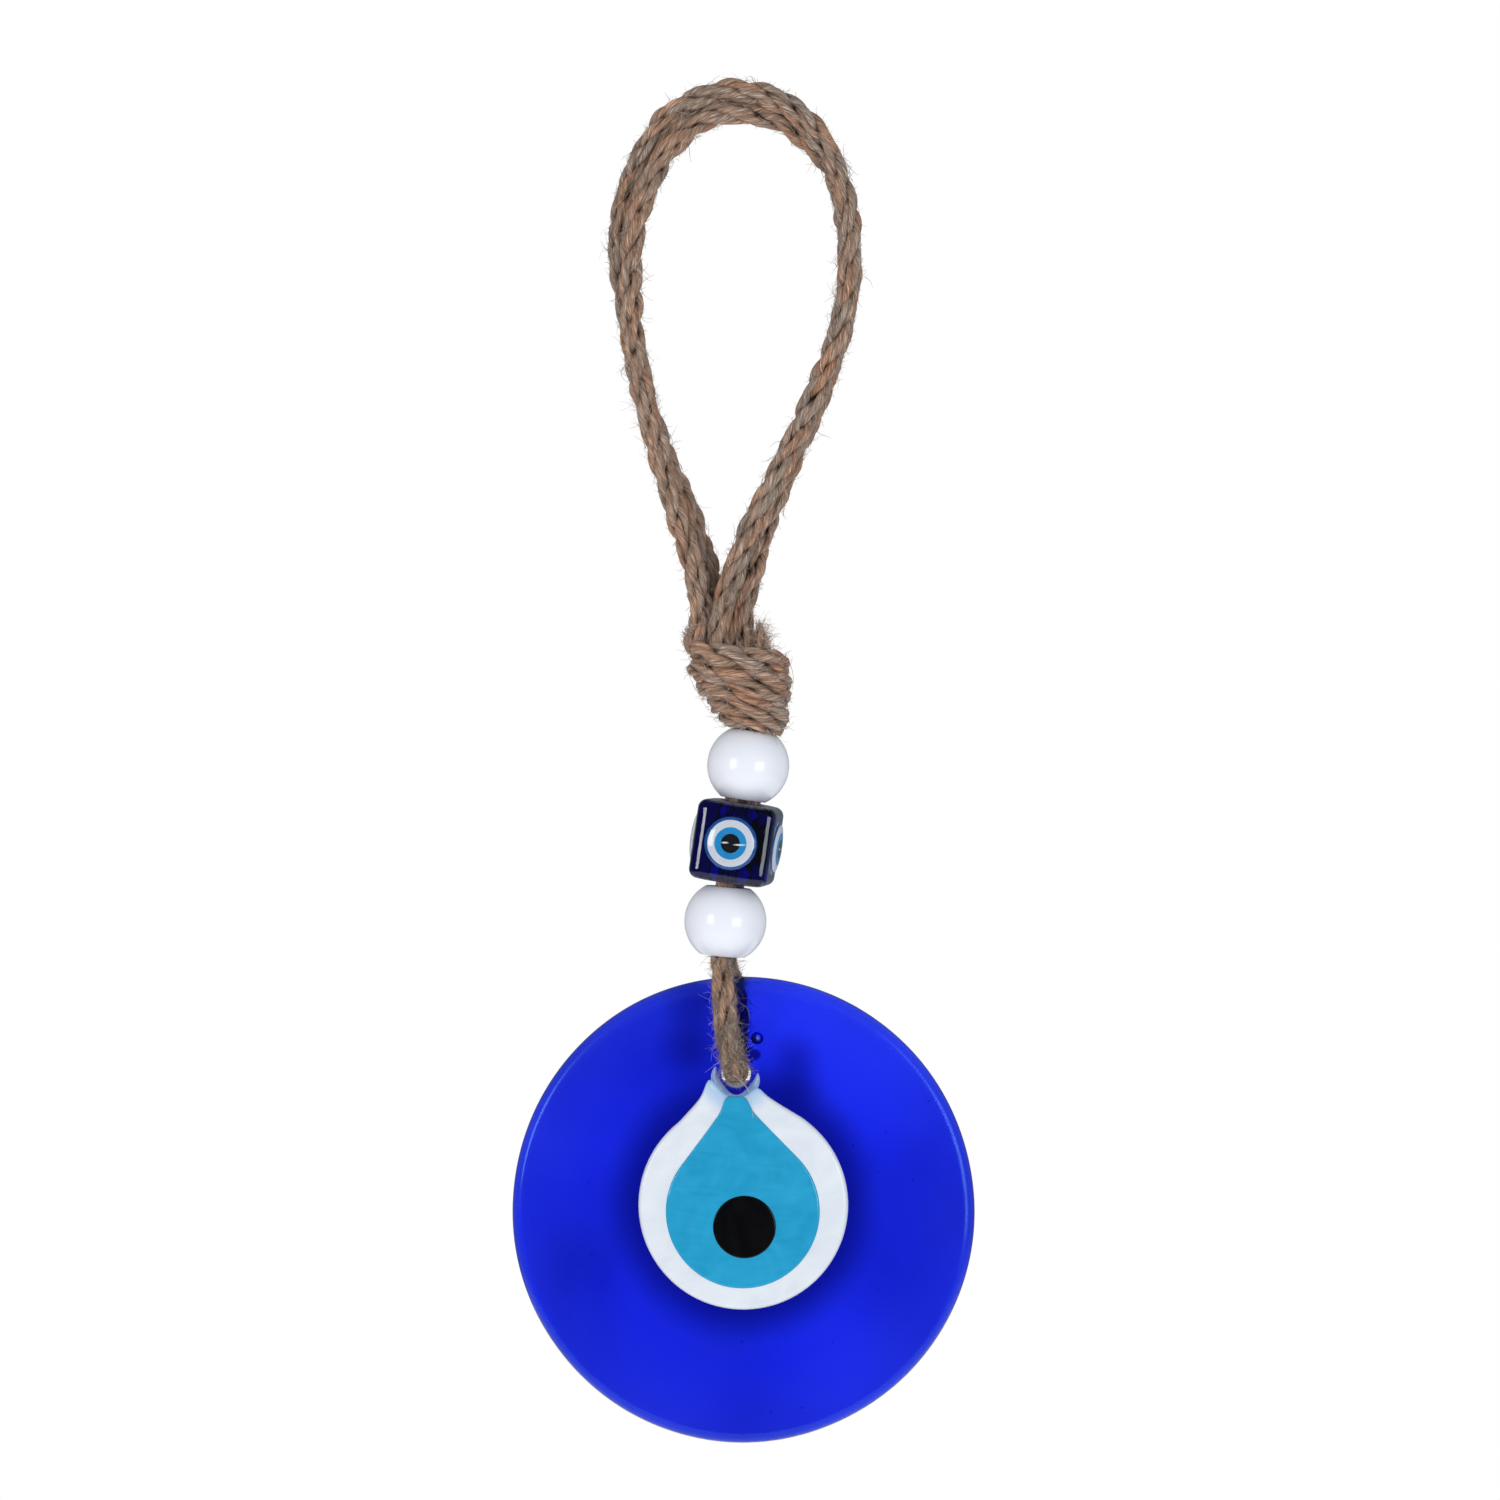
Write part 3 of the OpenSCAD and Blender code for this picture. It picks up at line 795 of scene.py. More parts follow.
def knot_line():
    """The wrapping rope: out of the knot's top at the left, over and round it four times and in.

    Each of its rows is the front crossing of one turn: height, centre in X, radius of the rope's
    middle and share of its free radius. The turns fall counterclockwise seen from above.
    """
    rows = np.array([(-104.2, -0.2, 7.5, 1.14), (-107.6, 0.5, 7.4, 1.14), (-111.1, 1.5, 6.6, 1.1),
                     (-114.1, 2.3, 5.8, 0.96), (-116.5, 3.1, 4.8, 0.80)])
    tilt = math.tan(math.radians(5.5))
    route = [(-2.5, 2.0, -108, 0.8), (-3.6, 2.6, -103.4, 0.85), (-5.2, 2.4, -100.4, 0.9),
             (-7.2, 1.1, -99.2, 0.98), (-8.5, -0.4, -100.2, 1.0)]
    rng = np.random.RandomState(3)
    turns = np.arange(-0.2, 4.3, 1 / 16)
    rise = 0.22 * swell(rng, turns, 0.45)
    push = 0.20 * swell(rng, turns, 0.35)
    for turn, up, out in zip(turns, rise, push):
        height, middle, radius, share = (np.interp(turn, range(5), rows[:, k]) for k in range(4))
        height += up - 3.5 * min(0.0, turn) - 2.4 * max(0.0, turn - 4)
        angle = math.radians(-90 + 360 * turn)
        x = (radius + out) * math.cos(angle)
        route.append((middle + x, (radius + out) * math.sin(angle), height - tilt * x, share))
    route += [(5.2, 3.4, -116.0, 0.6), (3.4, 1.0, -114.2, 0.6)]
    return Line(route)


def core_line():
    """The rope inside the knot, which the turns are wrapped round."""
    route = []
    for i in range(40):
        f = i / 39
        angle = 2 * math.pi * 3.4 * f
        radius = 3.6 - 1.4 * f
        route.append((0.2 + 2.4 * f + radius * math.cos(angle), radius * math.sin(angle), -102.5 - 11 * f))
    return Line(route)


wrap_line = knot_line()
KNOT_AXIS = (0.09, 0.0, 0.996)
knot = rope_object(
    "knot_wrapped",
    [laid_rope(wrap_line, 21, flat=(KNOT_AXIS, 0.96), phase=2.0), laid_rope(core_line(), 22),
     laid_rope(Line(FILLER_ROUTE), 23), laid_rope(Line(PLUG_ROUTE), 24)],
    jute_knot)
settle(knot, "rope", "jute_rope", "knot")

tail_lines = [Line(route) for route in TAIL_ROUTES]
for line in tail_lines:
    line.share = line.share * (1 - 0.75 * (line.s / line.length) ** 1.5)
tails = rope_object(
    "knot_tails_frayed", [laid_rope(line, 31 + i) for i, line in enumerate(tail_lines)], jute_end)
settle(tails, "rope", "jute_rope", "knot_tails")


def tuft(line, count, length, seed):
    """Fibres that come loose along the end of a cut rope and lean to +X."""
    rng = random.Random(seed)
    made = []
    for _ in range(count):
        i = int(len(line.p) * rng.uniform(0.15, 1.0)) - 1
        a = rng.uniform(0, 2 * math.pi)
        out = math.cos(a) * line.u[i] + math.sin(a) * line.v[i]
        root = line.p[i] + out * ROPE_R * line.share[i] * rng.uniform(0.3, 0.9)
        direction = (line.t[i] * rng.uniform(0.3, 1.1) + out * rng.uniform(0.1, 0.9)
                     + np.array((rng.uniform(-0.1, 0.7), 0, -0.15)))
        made.append(hair(root, direction, rng.uniform(*length) * MM, rng.uniform(-0.9, 0.9), rng))
    return made


# A few long fibres that stand off the rope, in millimetres
STRAYS = [
    [(-24.6, -1.5, -25.5), (-25.6, -2.0, -24.6), (-26.6, -2.2, -25.2), (-27.0, -2.2, -26.6)],
    [(-22.4, -2.0, -47.5), (-22.8, -2.4, -48.8), (-22.0, -2.8, -50.2), (-21.2, -2.8, -50.6)],
    [(22.6, -3.0, -18.0), (21.2, -3.6, -19.0), (20.0, -3.8, -20.4), (19.0, -3.8, -21.8)],
    [(24.6, -2.2, -30.0), (25.6, -2.4, -30.8), (26.2, -2.4, -32.2)],
    [(9.4, -3.0, -104.0), (10.0, -3.2, -105.1), (10.7, -3.2, -107.8), (10.3, -3.0, -111.1),
     (9.6, -3.0, -113.0)],
    [(-9.9, -3.0, -106.5), (-8.9, -3.5, -109.0), (-7.2, -4.0, -112.0), (-5.0, -4.5, -115.6),
     (-3.6, -4.5, -117.2)],
    [(-3.2, -6.4, -182.0), (-4.6, -6.6, -183.0), (-6.4, -6.4, -184.4)],
    [(-3.6, -6.2, -178.4), (-5.0, -6.8, -180.2), (-5.2, -6.8, -182.2)],
    [(-1.0, -6.2, -184.8), (1.6, -6.4, -187.2), (2.6, -5.6, -190.2), (2.8, -4.6, -193.4)],
    [(0.4, -6.4, -171.0), (1.8, -6.6, -172.0), (2.2, -6.4, -174.4)]]

stray_strokes = [Line(route, 0.5 * MM).p for route in STRAYS]


def coat_of_hairs(line, seed, **where):
    """Short hairs that stand out, and longer fibres that lie on the yarns."""
    return (hairs_on(line, 4.6, (0.5, 1.5), seed, **where)
            + hairs_on(line, 3.4, (1.8, 4.5), seed + 100, lift=(0.02, 0.16), **where))


loop_fuzz = hair_object(
    "loop_rope_fuzz",
    coat_of_hairs(inner_line, 41) + coat_of_hairs(outer_line, 42)
    + hairs_on(inner_line, 0.10, (2.5, 4.5), 43) + hairs_on(outer_line, 0.10, (2.5, 4.5), 44)
    + stray_strokes[:4], fuzz, 45)
knot_fuzz = hair_object(
    "knot_fuzz",
    coat_of_hairs(wrap_line, 46) + hairs_on(wrap_line, 5.0, (0.6, 1.6), 146, spread=(0.02, 0.07))
    + stray_strokes[4:6], fuzz, 49)
tail_fuzz = hair_object(
    "knot_tail_tuft",
    [stroke for i, line in enumerate(tail_lines) for stroke in tuft(line, 240, (1.2, 3.6), 47 + i)],
    brightened_pale_fuzz, 54)
drop_fuzz = hair_object(
    "drop_rope_fuzz",
    coat_of_hairs(drop_line, 50, spread=(0.31, 0.50))
    + coat_of_hairs(drop_line, 51, spread=(0.50, 0.70))
    + coat_of_hairs(drop_line, 53, spread=(0.42, 0.50)) + stray_strokes[6:], fuzz, 52)
for made in (loop_fuzz, knot_fuzz, tail_fuzz, drop_fuzz):
    settle(made, "rope", "jute_rope")


def declare_rope(made, line, *pieces):
    """Takes the points of the rope's line and does nothing more with them."""
    line.points()


declare_rope(loop_inner, inner_line, knot)
declare_rope(loop_outer, outer_line, knot, loop_fuzz, knot_fuzz, tails, tail_fuzz)
declare_rope(drop, drop_line, knot, drop_fuzz)


# ---------------------------------------------------------------- round beads

def bore_frame(joint_name):
    """A matrix with its origin at the bead's centre and +Z along its bore, from its spin joint."""
    joint = next(j for j in frame["joints"] if j["name"] == joint_name)
    axis = Vector(joint["axis"]).normalized()
    turn = Vector((0, 0, 1)).rotation_difference(axis).to_matrix().to_4x4()
    return Matrix.Translation(joint["pos_m"]) @ turn


def lathe(profile, around=128):
    """Points and faces of a closed profile [(radius, height)] turned round +Z."""
    points = [(r * math.cos(2 * math.pi * k / around), r * math.sin(2 * math.pi * k / around), z)
              for k in range(around) for r, z in profile]
    n = len(profile)
    return points, torus_faces(range(0, around * n, n), n)


def bead_profile(radius, bore):
    """Half section of a bored ball with rounded bore edges."""
    lip = 0.15 * MM
    top = math.sqrt(radius ** 2 - (bore + lip) ** 2)
    rim = math.atan2(top, bore + lip)
    outside = [(radius * math.cos(a), radius * math.sin(a)) for a in np.linspace(-rim, rim, 41)]
    lip_up = [(bore + lip * (1 - math.sin(a)), top - lip * (1 - math.cos(a)) + 0.12 * lip)
              for a in np.linspace(0.3, math.pi / 2, 6)]
    lip_down = [(r, -z) for r, z in reversed(lip_up)]
    inside = [(bore, z) for z in np.linspace(top - 2 * lip, -top + 2 * lip, 7)]
    return outside + lip_up + inside + lip_down


white_paint = white_bead_material()


def make_bead(name, node, body, joint_name):
    """A painted wooden or plastic ball, as wide as its CAD node."""
    lo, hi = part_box(node)
    radius = (hi.y - lo.y) / 2
    points, faces = lathe(bead_profile(radius, BEAD_BORE_R))
    made = mesh_object(name, points, faces, white_paint)
    made.matrix_world = bore_frame(joint_name)
    settle(made, body, "white_bead", node)


make_bead("upper_bead_painted", "upper_bead", "top_bead", "upper_bead_spin")
make_bead("lower_bead_painted", "lower_bead", "bottom_bead", "lower_bead_spin")


# ---------------------------------------------------------------- cube bead

CUBE_SIDE = 15.5 * MM
CUBE_ROUND = 1.8 * MM      # rounding of the edges round its top and bottom
CORNER_WIDE = 5.0 * MM     # the upright edges leave each face in a wide arc and turn in a tight one
CORNER_TIGHT = 0.8 * MM
CUBE_CROWN = 0.2 * MM      # how much its top and bottom swell towards the bore
CUBE_TURN = math.radians(8)
EYE_WHITE_R = 4.5 * MM
EYE_BLUE_R = 3.1 * MM
EYE_HALO_R = 5.05 * MM
EYE_PUPIL_R = 1.85 * MM
DOME_R = 5.2 * MM
DOME_H = 1.1 * MM


def soft_corner(steps=14):
    """Where a rounded edge lies (out, up) from its start, for each step of a quarter turn.

    It leaves each face in a wide arc and turns the corner in a tight one.
    """
    turn = np.radians(np.linspace(0, 90, 721))
    radius = np.where(np.abs(turn - math.pi / 4) < math.radians(20), CORNER_TIGHT, CORNER_WIDE)
    out = np.concatenate([[0], np.cumsum(radius[1:] * np.sin(turn[1:]))]) * (turn[1] - turn[0])
    up = np.concatenate([[0], np.cumsum(radius[1:] * np.cos(turn[1:]))]) * (turn[1] - turn[0])
    pick = np.linspace(0, 720, steps + 1).astype(int)
    return [(out[-1] - out[i], up[i]) for i in pick], out[-1]


def rounded_cube(side, bore):
    """A cube with all its edges rounded and a bore along +Z with eased mouths."""
    corner, edge = soft_corner()
    c = side / 2 - edge        # where the upright edges' curves are centred
    base, outward = [], []
    for quarter in range(4):
        turned = Matrix.Rotation(quarter * math.pi / 2, 2)
        corner_at = turned @ Vector((c, c))
        for out, up in corner:
            base.append(corner_at)
            outward.append(turned @ Vector((out, up)))
        after = turned @ Vector((-c, c))
        for i in range(1, 12):
            base.append(corner_at.lerp(after, i / 12))
            outward.append(turned @ Vector((0, edge)))
    ease = 0.5 * MM
    flat = (edge - CUBE_ROUND) / edge
    half = side / 2
    mouth = half + CUBE_CROWN
    points, rings = [], []

    def ring(place):
        rings.append(len(points))
        points.extend(place(i) for i in range(len(base)))

    def bore_dir(i):
        return (base[i] + outward[i]).normalized()

    def bore_ring(radius, z):
        ring(lambda i: (*(bore_dir(i) * radius), z))

    def arc(sign, steps):
        for a in steps:
            share = flat + (1 - flat) * math.cos(a)
            z = sign * (half - CUBE_ROUND) + CUBE_ROUND * math.sin(a)
            ring(lambda i: (*(base[i] + outward[i] * share), z))

    def face(sign, fractions):
        for f in fractions:
            z = sign * (half + CUBE_CROWN * (1 - f * f))
            ring(lambda i: (*((bore_dir(i) * (bore + ease)).lerp(base[i] + outward[i] * flat, f)), z))

    face(1, (0.0, 0.2, 0.4, 0.6, 0.8, 0.97))
    arc(1, np.linspace(math.pi / 2, 0, 9)[1:])
    for f in np.linspace(1, -1, 9)[1:-1]:
        ring(lambda i: (*(base[i] + outward[i]), (half - CUBE_ROUND) * f))
    arc(-1, np.linspace(0, -math.pi / 2, 9)[:-1])
    face(-1, (0.97, 0.8, 0.6, 0.4, 0.2, 0.0))
    for a in np.linspace(0, math.pi / 2, 5)[1:]:
        bore_ring(bore + ease * (1 - math.sin(a)), -mouth + ease * (1 - math.cos(a)))
    for z in np.linspace(-mouth + 2 * ease, mouth - 2 * ease, 7):
        bore_ring(bore, z)
    for a in np.linspace(math.pi / 2, 0, 5)[:-1]:
        bore_ring(bore + ease * (1 - math.sin(a)), mouth - ease * (1 - math.cos(a)))
    return points, torus_faces(rings, len(base))


cube_frame = bore_frame("cube_bead_spin") @ Matrix.Rotation(-CUBE_TURN, 4, "Z")


def face_frames():
    """For each side face of the cube bead, a matrix with +Z out of the face's centre."""
    return [cube_frame @ Matrix.Rotation(k * math.pi / 2, 4, "Z")
            @ Matrix.Translation((0, -CUBE_SIDE / 2, 0)) @ Matrix.Rotation(math.pi / 2, 4, "X")
            for k in range(4)]


def capped_disc(profile, around=96):
    """Points, faces and UVs (the place seen along the axis, in centimetres) of a lathe whose profile
    starts and ends on the axis."""
    points = [(0, 0, profile[0][1]), (0, 0, profile[-1][1])]
    uvs = [(0, 0), (0, 0)]
    faces = []
    inner = profile[1:-1]
    cm = 10 * MM
    n = len(inner)
    for k in range(around):
        a = 2 * math.pi * k / around
        points.extend((r * math.cos(a), r * math.sin(a), z) for r, z in inner)
        uvs.extend((r / cm * math.cos(a), r / cm * math.sin(a)) for r, z in inner)
    for k in range(around):
        a, b = 2 + k * n, 2 + ((k + 1) % around) * n
        faces.append((0, a, b))
        faces.extend((a + i, a + i + 1, b + i + 1, b + i) for i in range(n - 1))
        faces.append((a + n - 1, 1, b + n - 1))
    return points, faces, uvs


def on_faces(name, profile, material, slot, *nodes):
    """The same small turned piece on all four side faces, as one object."""
    points, faces, uvs = capped_disc(profile)
    points, faces, uvs = joined([([place @ Vector(p) for p in points], faces, uvs)
                                 for place in face_frames()])
    made = mesh_object(name, points, faces, material)
    add_uv(made, "face", uvs)
    settle(made, "eye_cube", slot, *nodes)


def layer_profile(radius, low, high, ease=0.06 * MM):
    """Half section of a thin disc with an eased upper edge."""
    flat = [(radius * f, high) for f in (0.25, 0.5, 0.75)]
    edge = [(radius - ease * (1 - math.sin(a)), high - ease * (1 - math.cos(a)))
            for a in np.linspace(0, math.pi / 2, 4)]
    return [(0, high), *flat, *edge, (radius, low), (radius * 0.5, low), (0, low)]


def dome_profile(radius, height, lift):
    """Half section of a clear lens with a soft foot."""
    steps = np.linspace(0, math.pi / 2, 22)
    top = [(radius * math.sin(a), lift + height * math.cos(a) ** 0.9) for a in steps[1:-1]]
    return [(0, lift + height), *top, (radius, lift), (radius * 0.5, lift), (0, lift)]


cube_points, cube_faces = rounded_cube(CUBE_SIDE, BEAD_BORE_R)
cube = mesh_object("cube_bead_acrylic", cube_points, cube_faces, navy_material())
cube.matrix_world = cube_frame
bm = bmesh.new()
bm.from_mesh(cube.data)
bmesh.ops.remove_doubles(bm, verts=bm.verts, dist=1e-6)
bmesh.ops.recalc_face_normals(bm, faces=bm.faces)
bm.to_mesh(cube.data)
bm.free()
settle(cube, "eye_cube", "navy_bead", "cube_bead")

on_faces("cube_eye_white_rings", layer_profile(EYE_WHITE_R, 0.03 * MM, 0.16 * MM),
         print_material("print_white", (0.74, 0.76, 0.80), (0.86, 0.88, 0.90)),
         "eye_print_white", "cube_eye_whites")
on_faces("cube_eye_halo_rings", layer_profile(EYE_HALO_R, 0.02 * MM, 0.08 * MM),
         print_material("print_halo", (0.010, 0.06, 0.26), (0.02, 0.13, 0.42)), "eye_print_blue")
on_faces("cube_eye_blue_rings", layer_profile(EYE_BLUE_R, 0.10 * MM, 0.23 * MM),
         print_material("print_blue", (0.015, 0.27, 0.62), (0.03, 0.36, 0.74)),
         "eye_print_blue", "cube_eye_blues")
on_faces("cube_eye_pupil_dots", layer_profile(EYE_PUPIL_R, 0.17 * MM, 0.30 * MM),
         print_material("print_black", (0.003, 0.003, 0.004), (0.012, 0.012, 0.014)),
         "eye_print_black", "cube_eye_pupils")
on_faces("cube_eye_lenses", dome_profile(DOME_R, DOME_H - 0.02 * MM, 0.02 * MM),
         dome_material(), "clear_dome", "cube_eye_domes")


# ---------------------------------------------------------------- glass disc

HOLE = Vector((-0.4 * MM, 0, -185 * MM))
HOLE_R = 2.85 * MM         # at its waist
HOLE_ROUND = 2.25 * MM     # rounding of its edges
disc_lo, disc_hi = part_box("glass_disc")
DISC = (disc_lo + disc_hi) / 2
DISC_R = (disc_hi.x - disc_lo.x) / 2
HALF_T = (disc_hi.y - disc_lo.y) / 2
RIM_R = 2.2 * MM
MOUTH_R = HOLE_R + HOLE_ROUND
FRONT, BACK = 5, 6         # seeds of the unevenness of its faces
BLUE_TOP = 1.18 * MM       # how far the blue layer stands over the disc's face


def uneven(x, z, seed):
    """Gentle swells of a hand-pressed face, from about -1 to 1."""
    rng = np.random.RandomState(seed)
    total = np.zeros(np.broadcast(x, z).shape)
    for _ in range(9):
        a = rng.uniform(0, 2 * math.pi)
        wave = rng.uniform(12, 34) * MM
        total = total + np.cos(2 * math.pi * (x * math.cos(a) + z * math.sin(a)) / wave
                               + rng.uniform(0, 6.3))
    return total / 3


def glass_half(x, z, seed):
    """Half thickness of the disc at a point of its face, hole's rounding included."""
    from_axis = np.hypot(x - DISC.x, z - DISC.z)
    thinning = np.clip((from_axis - 30 * MM) / (DISC_R - 30 * MM), 0, 1)
    half = HALF_T - 0.05 * MM - 0.28 * MM * thinning + 0.045 * MM * uneven(x, z, seed)
    from_hole = np.hypot(x - HOLE.x, z - HOLE.z)
    into = np.clip((MOUTH_R - from_hole) / HOLE_ROUND, 0, 1)
    return half - HOLE_ROUND * (1 - np.sqrt(1 - into ** 2))


def disc_outline(angle):
    """The disc's own outline: nearly round, with the slight flats of a hand-cast piece."""
    wobble = (0.0022 * np.cos(2 * angle + 2.8) + 0.0014 * np.cos(3 * angle + 0.7)
              + 0.0008 * np.cos(5 * angle + 2.0) + 0.0004 * np.cos(9 * angle + 1.0))
    tall = 0.0085 * np.sin(angle) + 0.004 * np.sin(angle) ** 2
    return DISC_R * (0.997 + wobble + tall)


def glass_disc():
    """A ring of quads all the way round: out over the front from the hole, round the rim and back."""
    around = 320
    psi = np.linspace(0, 2 * math.pi, around, endpoint=False)
    rim_angle = np.empty(around)
    for i, a in enumerate(psi):     # where the ray from the hole meets the disc's outline
        far, near = 2 * DISC_R, 0.0
        for _ in range(40):
            mid = (far + near) / 2
            x = HOLE.x + mid * math.cos(a) - DISC.x
            z = HOLE.z + mid * math.sin(a) - DISC.z
            if math.hypot(x, z) > disc_outline(math.atan2(z, x)):
                far = mid
            else:
                near = mid
        rim_angle[i] = math.atan2(z, x)
    reach = disc_outline(rim_angle)
    rim = np.stack([DISC.x + reach * np.cos(rim_angle), DISC.z + reach * np.sin(rim_angle)], axis=1)
    outward = np.stack([np.cos(rim_angle), np.sin(rim_angle)], axis=1)
    hole_dir = np.stack([np.cos(psi), np.sin(psi)], axis=1)
    hole_at = np.array([HOLE.x, HOLE.z])
    edge_start = rim - RIM_R * outward
    rings = []

    def add(xz, y):
        rings.append(np.stack([xz[:, 0], np.broadcast_to(y, around), xz[:, 1]], axis=1))

    for side, seed in ((-1, FRONT), (1, BACK)):
        half = []
        for a in np.linspace(math.pi / 2, 0, 9)[1:]:     # up the hole's rounded edge
            xz = hole_at + (HOLE_R + HOLE_ROUND * (1 - math.sin(a))) * hole_dir
            half.append((xz, glass_half(xz[:, 0], xz[:, 1], seed)))
        for f in np.linspace(0, 1, 46)[1:]:              # across the face
            xz = (hole_at + MOUTH_R * hole_dir) * (1 - f) + edge_start * f
            half.append((xz, glass_half(xz[:, 0], xz[:, 1], seed)))
        last = half[-1][1]
        for a in np.linspace(0, math.pi / 2, 10)[1:-1]:  # and over the rim
            half.append((edge_start + RIM_R * math.sin(a) * outward, last * math.cos(a)))
        if side == 1:
            half.reverse()
            add(rim, 0.0)
        for xz, y in half:
            add(xz, side * y)
    add(hole_at + HOLE_R * hole_dir, 0.0)
    return np.concatenate(rings), torus_faces(range(0, len(rings) * around, around), around)


def add_bubbles(bm):
    """Air bubbles: hollows in the glass, so their faces look inwards."""
    rng = random.Random(9)
    bubbles = [((DISC.x + 2.7 * MM, -0.9 * MM, DISC.z + 33.9 * MM), 1.25 * MM)]
    while len(bubbles) < 130:
        a = rng.uniform(0, 2 * math.pi)
        r = DISC_R * 0.94 * math.sqrt(rng.random())
        x, z = DISC.x + r * math.cos(a), DISC.z + r * math.sin(a)
        if math.hypot(x - HOLE.x, z - HOLE.z) > 7 * MM:
            size = rng.choice((0.07, 0.09, 0.11, 0.14, 0.2)) * MM
            bubbles.append(((x, rng.uniform(-1.9, 1.9) * MM, z), size))
    for place, size in bubbles:
        fine = 3 if size > MM else 1
        made = bmesh.ops.create_icosphere(bm, subdivisions=fine, radius=size,
                                          matrix=Matrix.Translation(place))
        faces = {f for v in made["verts"] for f in v.link_faces}
        bmesh.ops.reverse_faces(bm, faces=list(faces))
        for f in faces:
            f.smooth = True


disc_points, disc_faces = glass_disc()
disc = mesh_object("glass_disc_cast", disc_points, disc_faces, cobalt_material())
bm = bmesh.new()
bm.from_mesh(disc.data)
bmesh.ops.recalc_face_normals(bm, faces=bm.faces)
add_bubbles(bm)
bm.to_mesh(disc.data)
bm.free()
settle(disc, "disc", "cobalt_glass", "glass_disc")


def drop_shape(node, flank, neck, neck_x, blend):
    """Centre and outline radius by angle of a drop: a round part, straight flanks and a neck that
    runs into the rope hole's lower edge. neck is half the neck's width, neck_x how far it stands
    aside, and blend how softly the flanks run into it."""
    lo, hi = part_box(node)
    r = (hi.x - lo.x) / 2
    cx, cz = (lo.x + hi.x) / 2, lo.z + r
    side = []
    top = HOLE.z - cz
    start = r * math.sin(flank)
    for f in np.linspace(0, 1, 40):
        h = start + (top - start) * f
        line_w = (r - h * math.sin(flank)) / math.cos(flank)
        w = 0.5 * (line_w + neck + math.sqrt((line_w - neck) ** 2 + blend ** 2))
        side.append((w, h, f))
    arc = [(r * math.cos(a), r * math.sin(a)) for a in np.linspace(-math.pi - flank, flank, 120)]
    right = [(w + neck_x * min(1, f / 0.65), h) for w, h, f in side[1:]]
    left = [(-w + neck_x * min(1, f / 0.65), h) for w, h, f in reversed(side[1:])]
    outline = np.array(arc + right + left)
    angle = np.arctan2(outline[:, 1], outline[:, 0])
    order = np.argsort(angle)
    return (cx, cz), angle[order], np.hypot(outline[:, 0], outline[:, 1])[order]


def drop_layer(name, node, material, slot, low, high, flank, neck, neck_x, blend, hole_gap):
    """One glass layer of the eye, domed a little, lying on what is under it and running over the
    rounded edge of the hole. low and high are its depths over the disc's face."""
    (cx, cz), known_angle, known_reach = drop_shape(node, flank, neck, neck_x, blend)
    around, rings = 256, 30
    angle = np.linspace(-math.pi, math.pi, around, endpoint=False)
    reach = np.interp(angle, known_angle, known_reach, period=2 * math.pi)
    to_hole = np.array([HOLE.x - cx, HOLE.z - cz])
    direction = np.stack([np.cos(angle), np.sin(angle)], axis=1)
    along = direction @ to_hole
    miss = np.sqrt(np.maximum(0, to_hole @ to_hole - along ** 2))
    entry = along - np.sqrt(np.maximum(0, hole_gap ** 2 - miss ** 2))
    reach = np.where((miss < hole_gap) & (along > 0), np.minimum(reach, entry), reach)
    smooth = reach.copy()
    for _ in range(3):
        smooth = 0.5 * smooth + 0.25 * (np.roll(smooth, 1) + np.roll(smooth, -1))
    share = 1 - (1 - np.linspace(0, 1, rings + 1)[1:]) ** 1.8
    round_over = min(0.9 * MM, 1.4 * (high - low))
    points = [(cx, 0, cz)]
    for f in share:
        inset = smooth * (1 - f)
        lift = np.clip(inset / round_over, 0, 1)
        x = cx + smooth * f * np.cos(angle)
        z = cz + smooth * f * np.sin(angle)
        thin = np.clip((np.hypot(x - HOLE.x, z - HOLE.z) - 4.2 * MM) / (3.5 * MM), 0, 1) ** 0.6
        height = low + (high - low) * np.sqrt(1 - (1 - lift) ** 2) * (0.25 + 0.75 * thin)
        y = -glass_half(x, z, FRONT) - height
        points.extend(zip(x, y, z))
    points[0] = (cx, float(-glass_half(cx, cz, FRONT)) - high, cz)
    outer = 1 + (rings - 1) * around
    base = len(points)
    for i in range(around):
        x, y, z = points[outer + i]
        points.append((x, y + 0.25 * MM, z))
    faces = [(0, 1 + i, 1 + (i + 1) % around) for i in range(around)]
    for j in range(rings):
        faces.extend(band(1 + j * around, 1 + (j + 1) * around, around))
    faces.append(tuple(base + i for i in reversed(range(around))))
    settle(mesh_object(name, points, faces, material), "disc", slot, node)


white_opal = opal_material("white_opal", (0.62, 0.665, 0.73), (0.71, 0.745, 0.79),
                           milky=((HOLE.x, -4 * MM, HOLE.z), 5.0 * MM, 9.0 * MM))
sky_opal = opal_material("sky_opal", (0.010, 0.262, 0.47), (0.020, 0.325, 0.56), 1.0)
black_opal = opal_material("black_opal", (0.001, 0.001, 0.0015), (0.004, 0.004, 0.005), 0.0, 0.15)

drop_layer("white_eye_drop", "white_eye", white_opal, "white_glass", -0.05 * MM, 0.95 * MM,
           math.radians(54), 4.4 * MM, -2.15 * MM, 2.6 * MM, 4.5 * MM)
drop_layer("blue_iris_drop", "blue_iris", sky_opal, "sky_glass", 0.80 * MM, BLUE_TOP,
           math.radians(41), 2.2 * MM, -1.3 * MM, 0.8 * MM, 4.4 * MM)


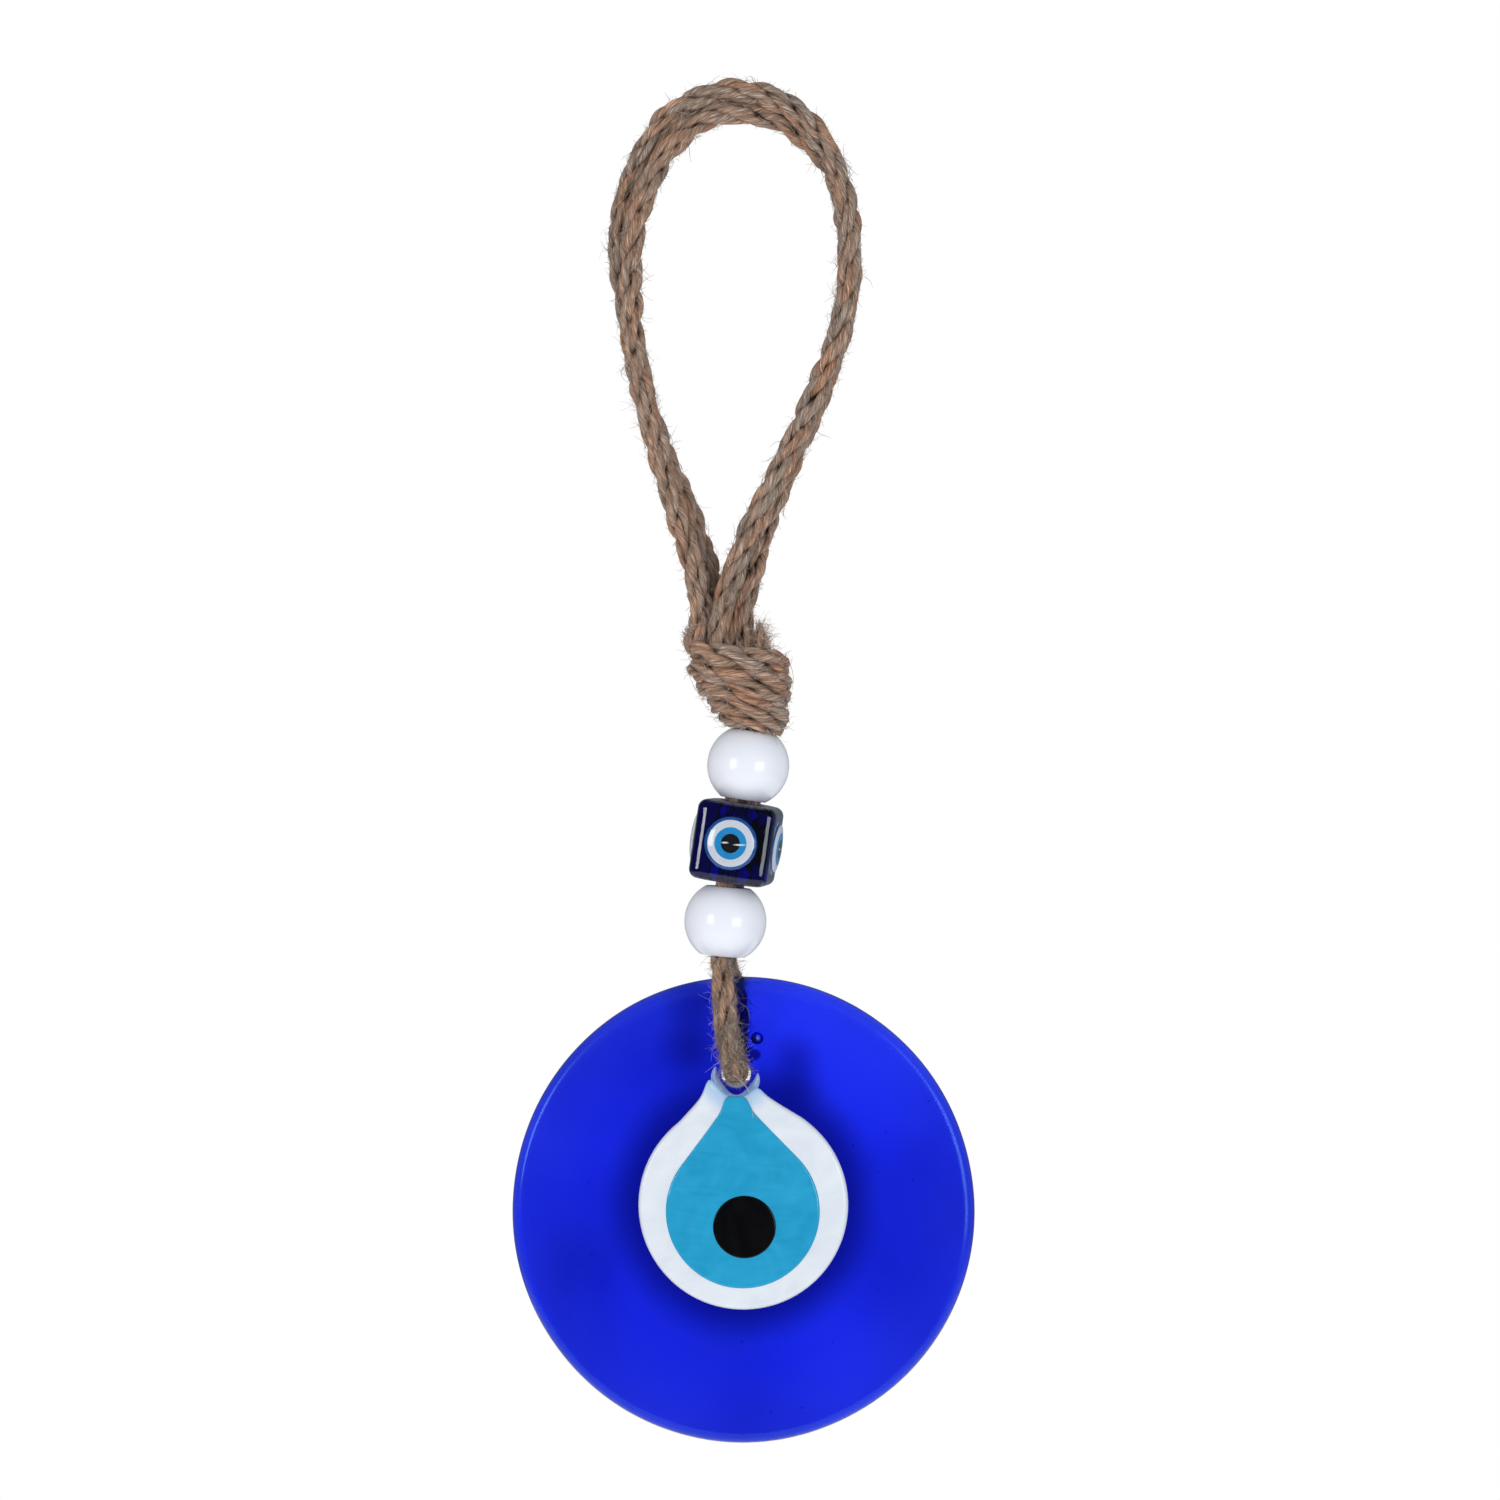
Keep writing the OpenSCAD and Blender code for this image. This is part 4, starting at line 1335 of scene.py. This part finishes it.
def pupil_button():
    """The black glass button, pressed flat onto the blue layer."""
    lo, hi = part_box("pupil")
    radius = (hi.x - lo.x) / 2
    centre = (lo + hi) / 2
    steps = np.linspace(0, math.pi / 2, 10)
    edge = [(radius - 0.35 * MM * (1 - math.sin(a)), 0.2 * MM * math.cos(a)) for a in steps]
    profile = [(0, 0.22 * MM), (radius * 0.4, 0.215 * MM), (radius * 0.75, 0.205 * MM), *edge,
               (radius * 0.99, -0.3 * MM), (radius * 0.5, -0.3 * MM), (0, -0.3 * MM)]
    points, faces, _ = capped_disc(profile, 128)
    made = mesh_object("pupil_button", points, faces, black_opal)
    front = -float(glass_half(centre.x, centre.z, FRONT)) - BLUE_TOP
    made.matrix_world = (Matrix.Translation((centre.x, front, centre.z))
                         @ Matrix.Rotation(math.pi / 2, 4, "X"))
    settle(made, "disc", "black_glass", "pupil")


pupil_button()


def hole_veil():
    """The thin milky skin that the white glass leaves round the hole's lower half."""
    first, last = math.radians(160), math.radians(362)
    around, across = 90, 16
    rows = []
    for i in range(around + 1):
        f = i / around
        psi = first + (last - first) * f
        fade = max(0.02, math.sin(math.pi * f)) ** 0.6
        outer = MOUTH_R + 0.35 * MM
        inner = HOLE_R + (0.15 + 1.05 * math.exp(-((psi - 1.5 * math.pi) / 0.6) ** 2)) * MM
        middle = (outer + inner) / 2
        outer = middle + (outer - middle) * fade
        inner = middle + (inner - middle) * fade
        row = []
        for j in range(across + 1):
            g = j / across
            rho = outer + (inner - outer) * g
            x = HOLE.x + rho * math.cos(psi)
            z = HOLE.z + rho * math.sin(psi)
            skin = (0.03 + 0.22 * fade * math.sin(math.pi * (0.04 + 0.92 * g))) * MM
            row.append((x, z, rho, psi, skin))
        rows.append(row)
    points = []
    for lifted in (True, False):
        for row in rows:
            for x, z, rho, psi, skin in row:
                half = float(glass_half(x, z, FRONT))
                depth = skin if lifted else -0.10 * MM
                tilt = min(1.0, max(0.0, (MOUTH_R - rho) / HOLE_ROUND))
                out = math.sqrt(1 - tilt * tilt)
                points.append((x - depth * tilt * math.cos(psi), -half - depth * out,
                               z - depth * tilt * math.sin(psi)))
    made = mesh_object("hole_veil", points, shell_faces(around, across), veil_material())
    settle(made, "disc", "white_glass")


hole_veil()


def hole_shade_film():
    """A thin frosted grey sheet across the lowest part of the hole, under the rope, standing for shade
    seen through it.
    """
    around, across = 40, 6
    dip = 0.12 * MM
    top = HOLE.z - 1.35 * MM
    points = []
    for y in (-0.1 * MM, 0.1 * MM):
        for i in range(around + 1):
            f = 2 * i / around - 1
            x = 0.86 * HOLE_R * f
            upper = top - dip * (1 - f * f)
            lower = HOLE.z - math.sqrt((HOLE_R + 0.1 * MM) ** 2 - x * x)
            points.extend((HOLE.x + x, y, upper + (lower - upper) * j / across) for j in range(across + 1))
    # A grey half-clear sheet as painted shade in the hole.
    made = mesh_object("hole_shade_film", points, shell_faces(around, across, flip=True), shade_film_material())
    settle(made, "disc", "cobalt_glass")


hole_shade_film()


# ---------------------------------------------------------------- floor

def make_floor():
    """A pale floor well under the hanging ornament."""
    lo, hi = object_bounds()
    bpy.ops.mesh.primitive_circle_add(vertices=96, radius=1.2, fill_type="NGON",
                                      location=(0, 0, lo.z - 0.45))
    made = bpy.context.object
    made.name = "floor"
    made.data.materials.append(floor_material())


make_floor()
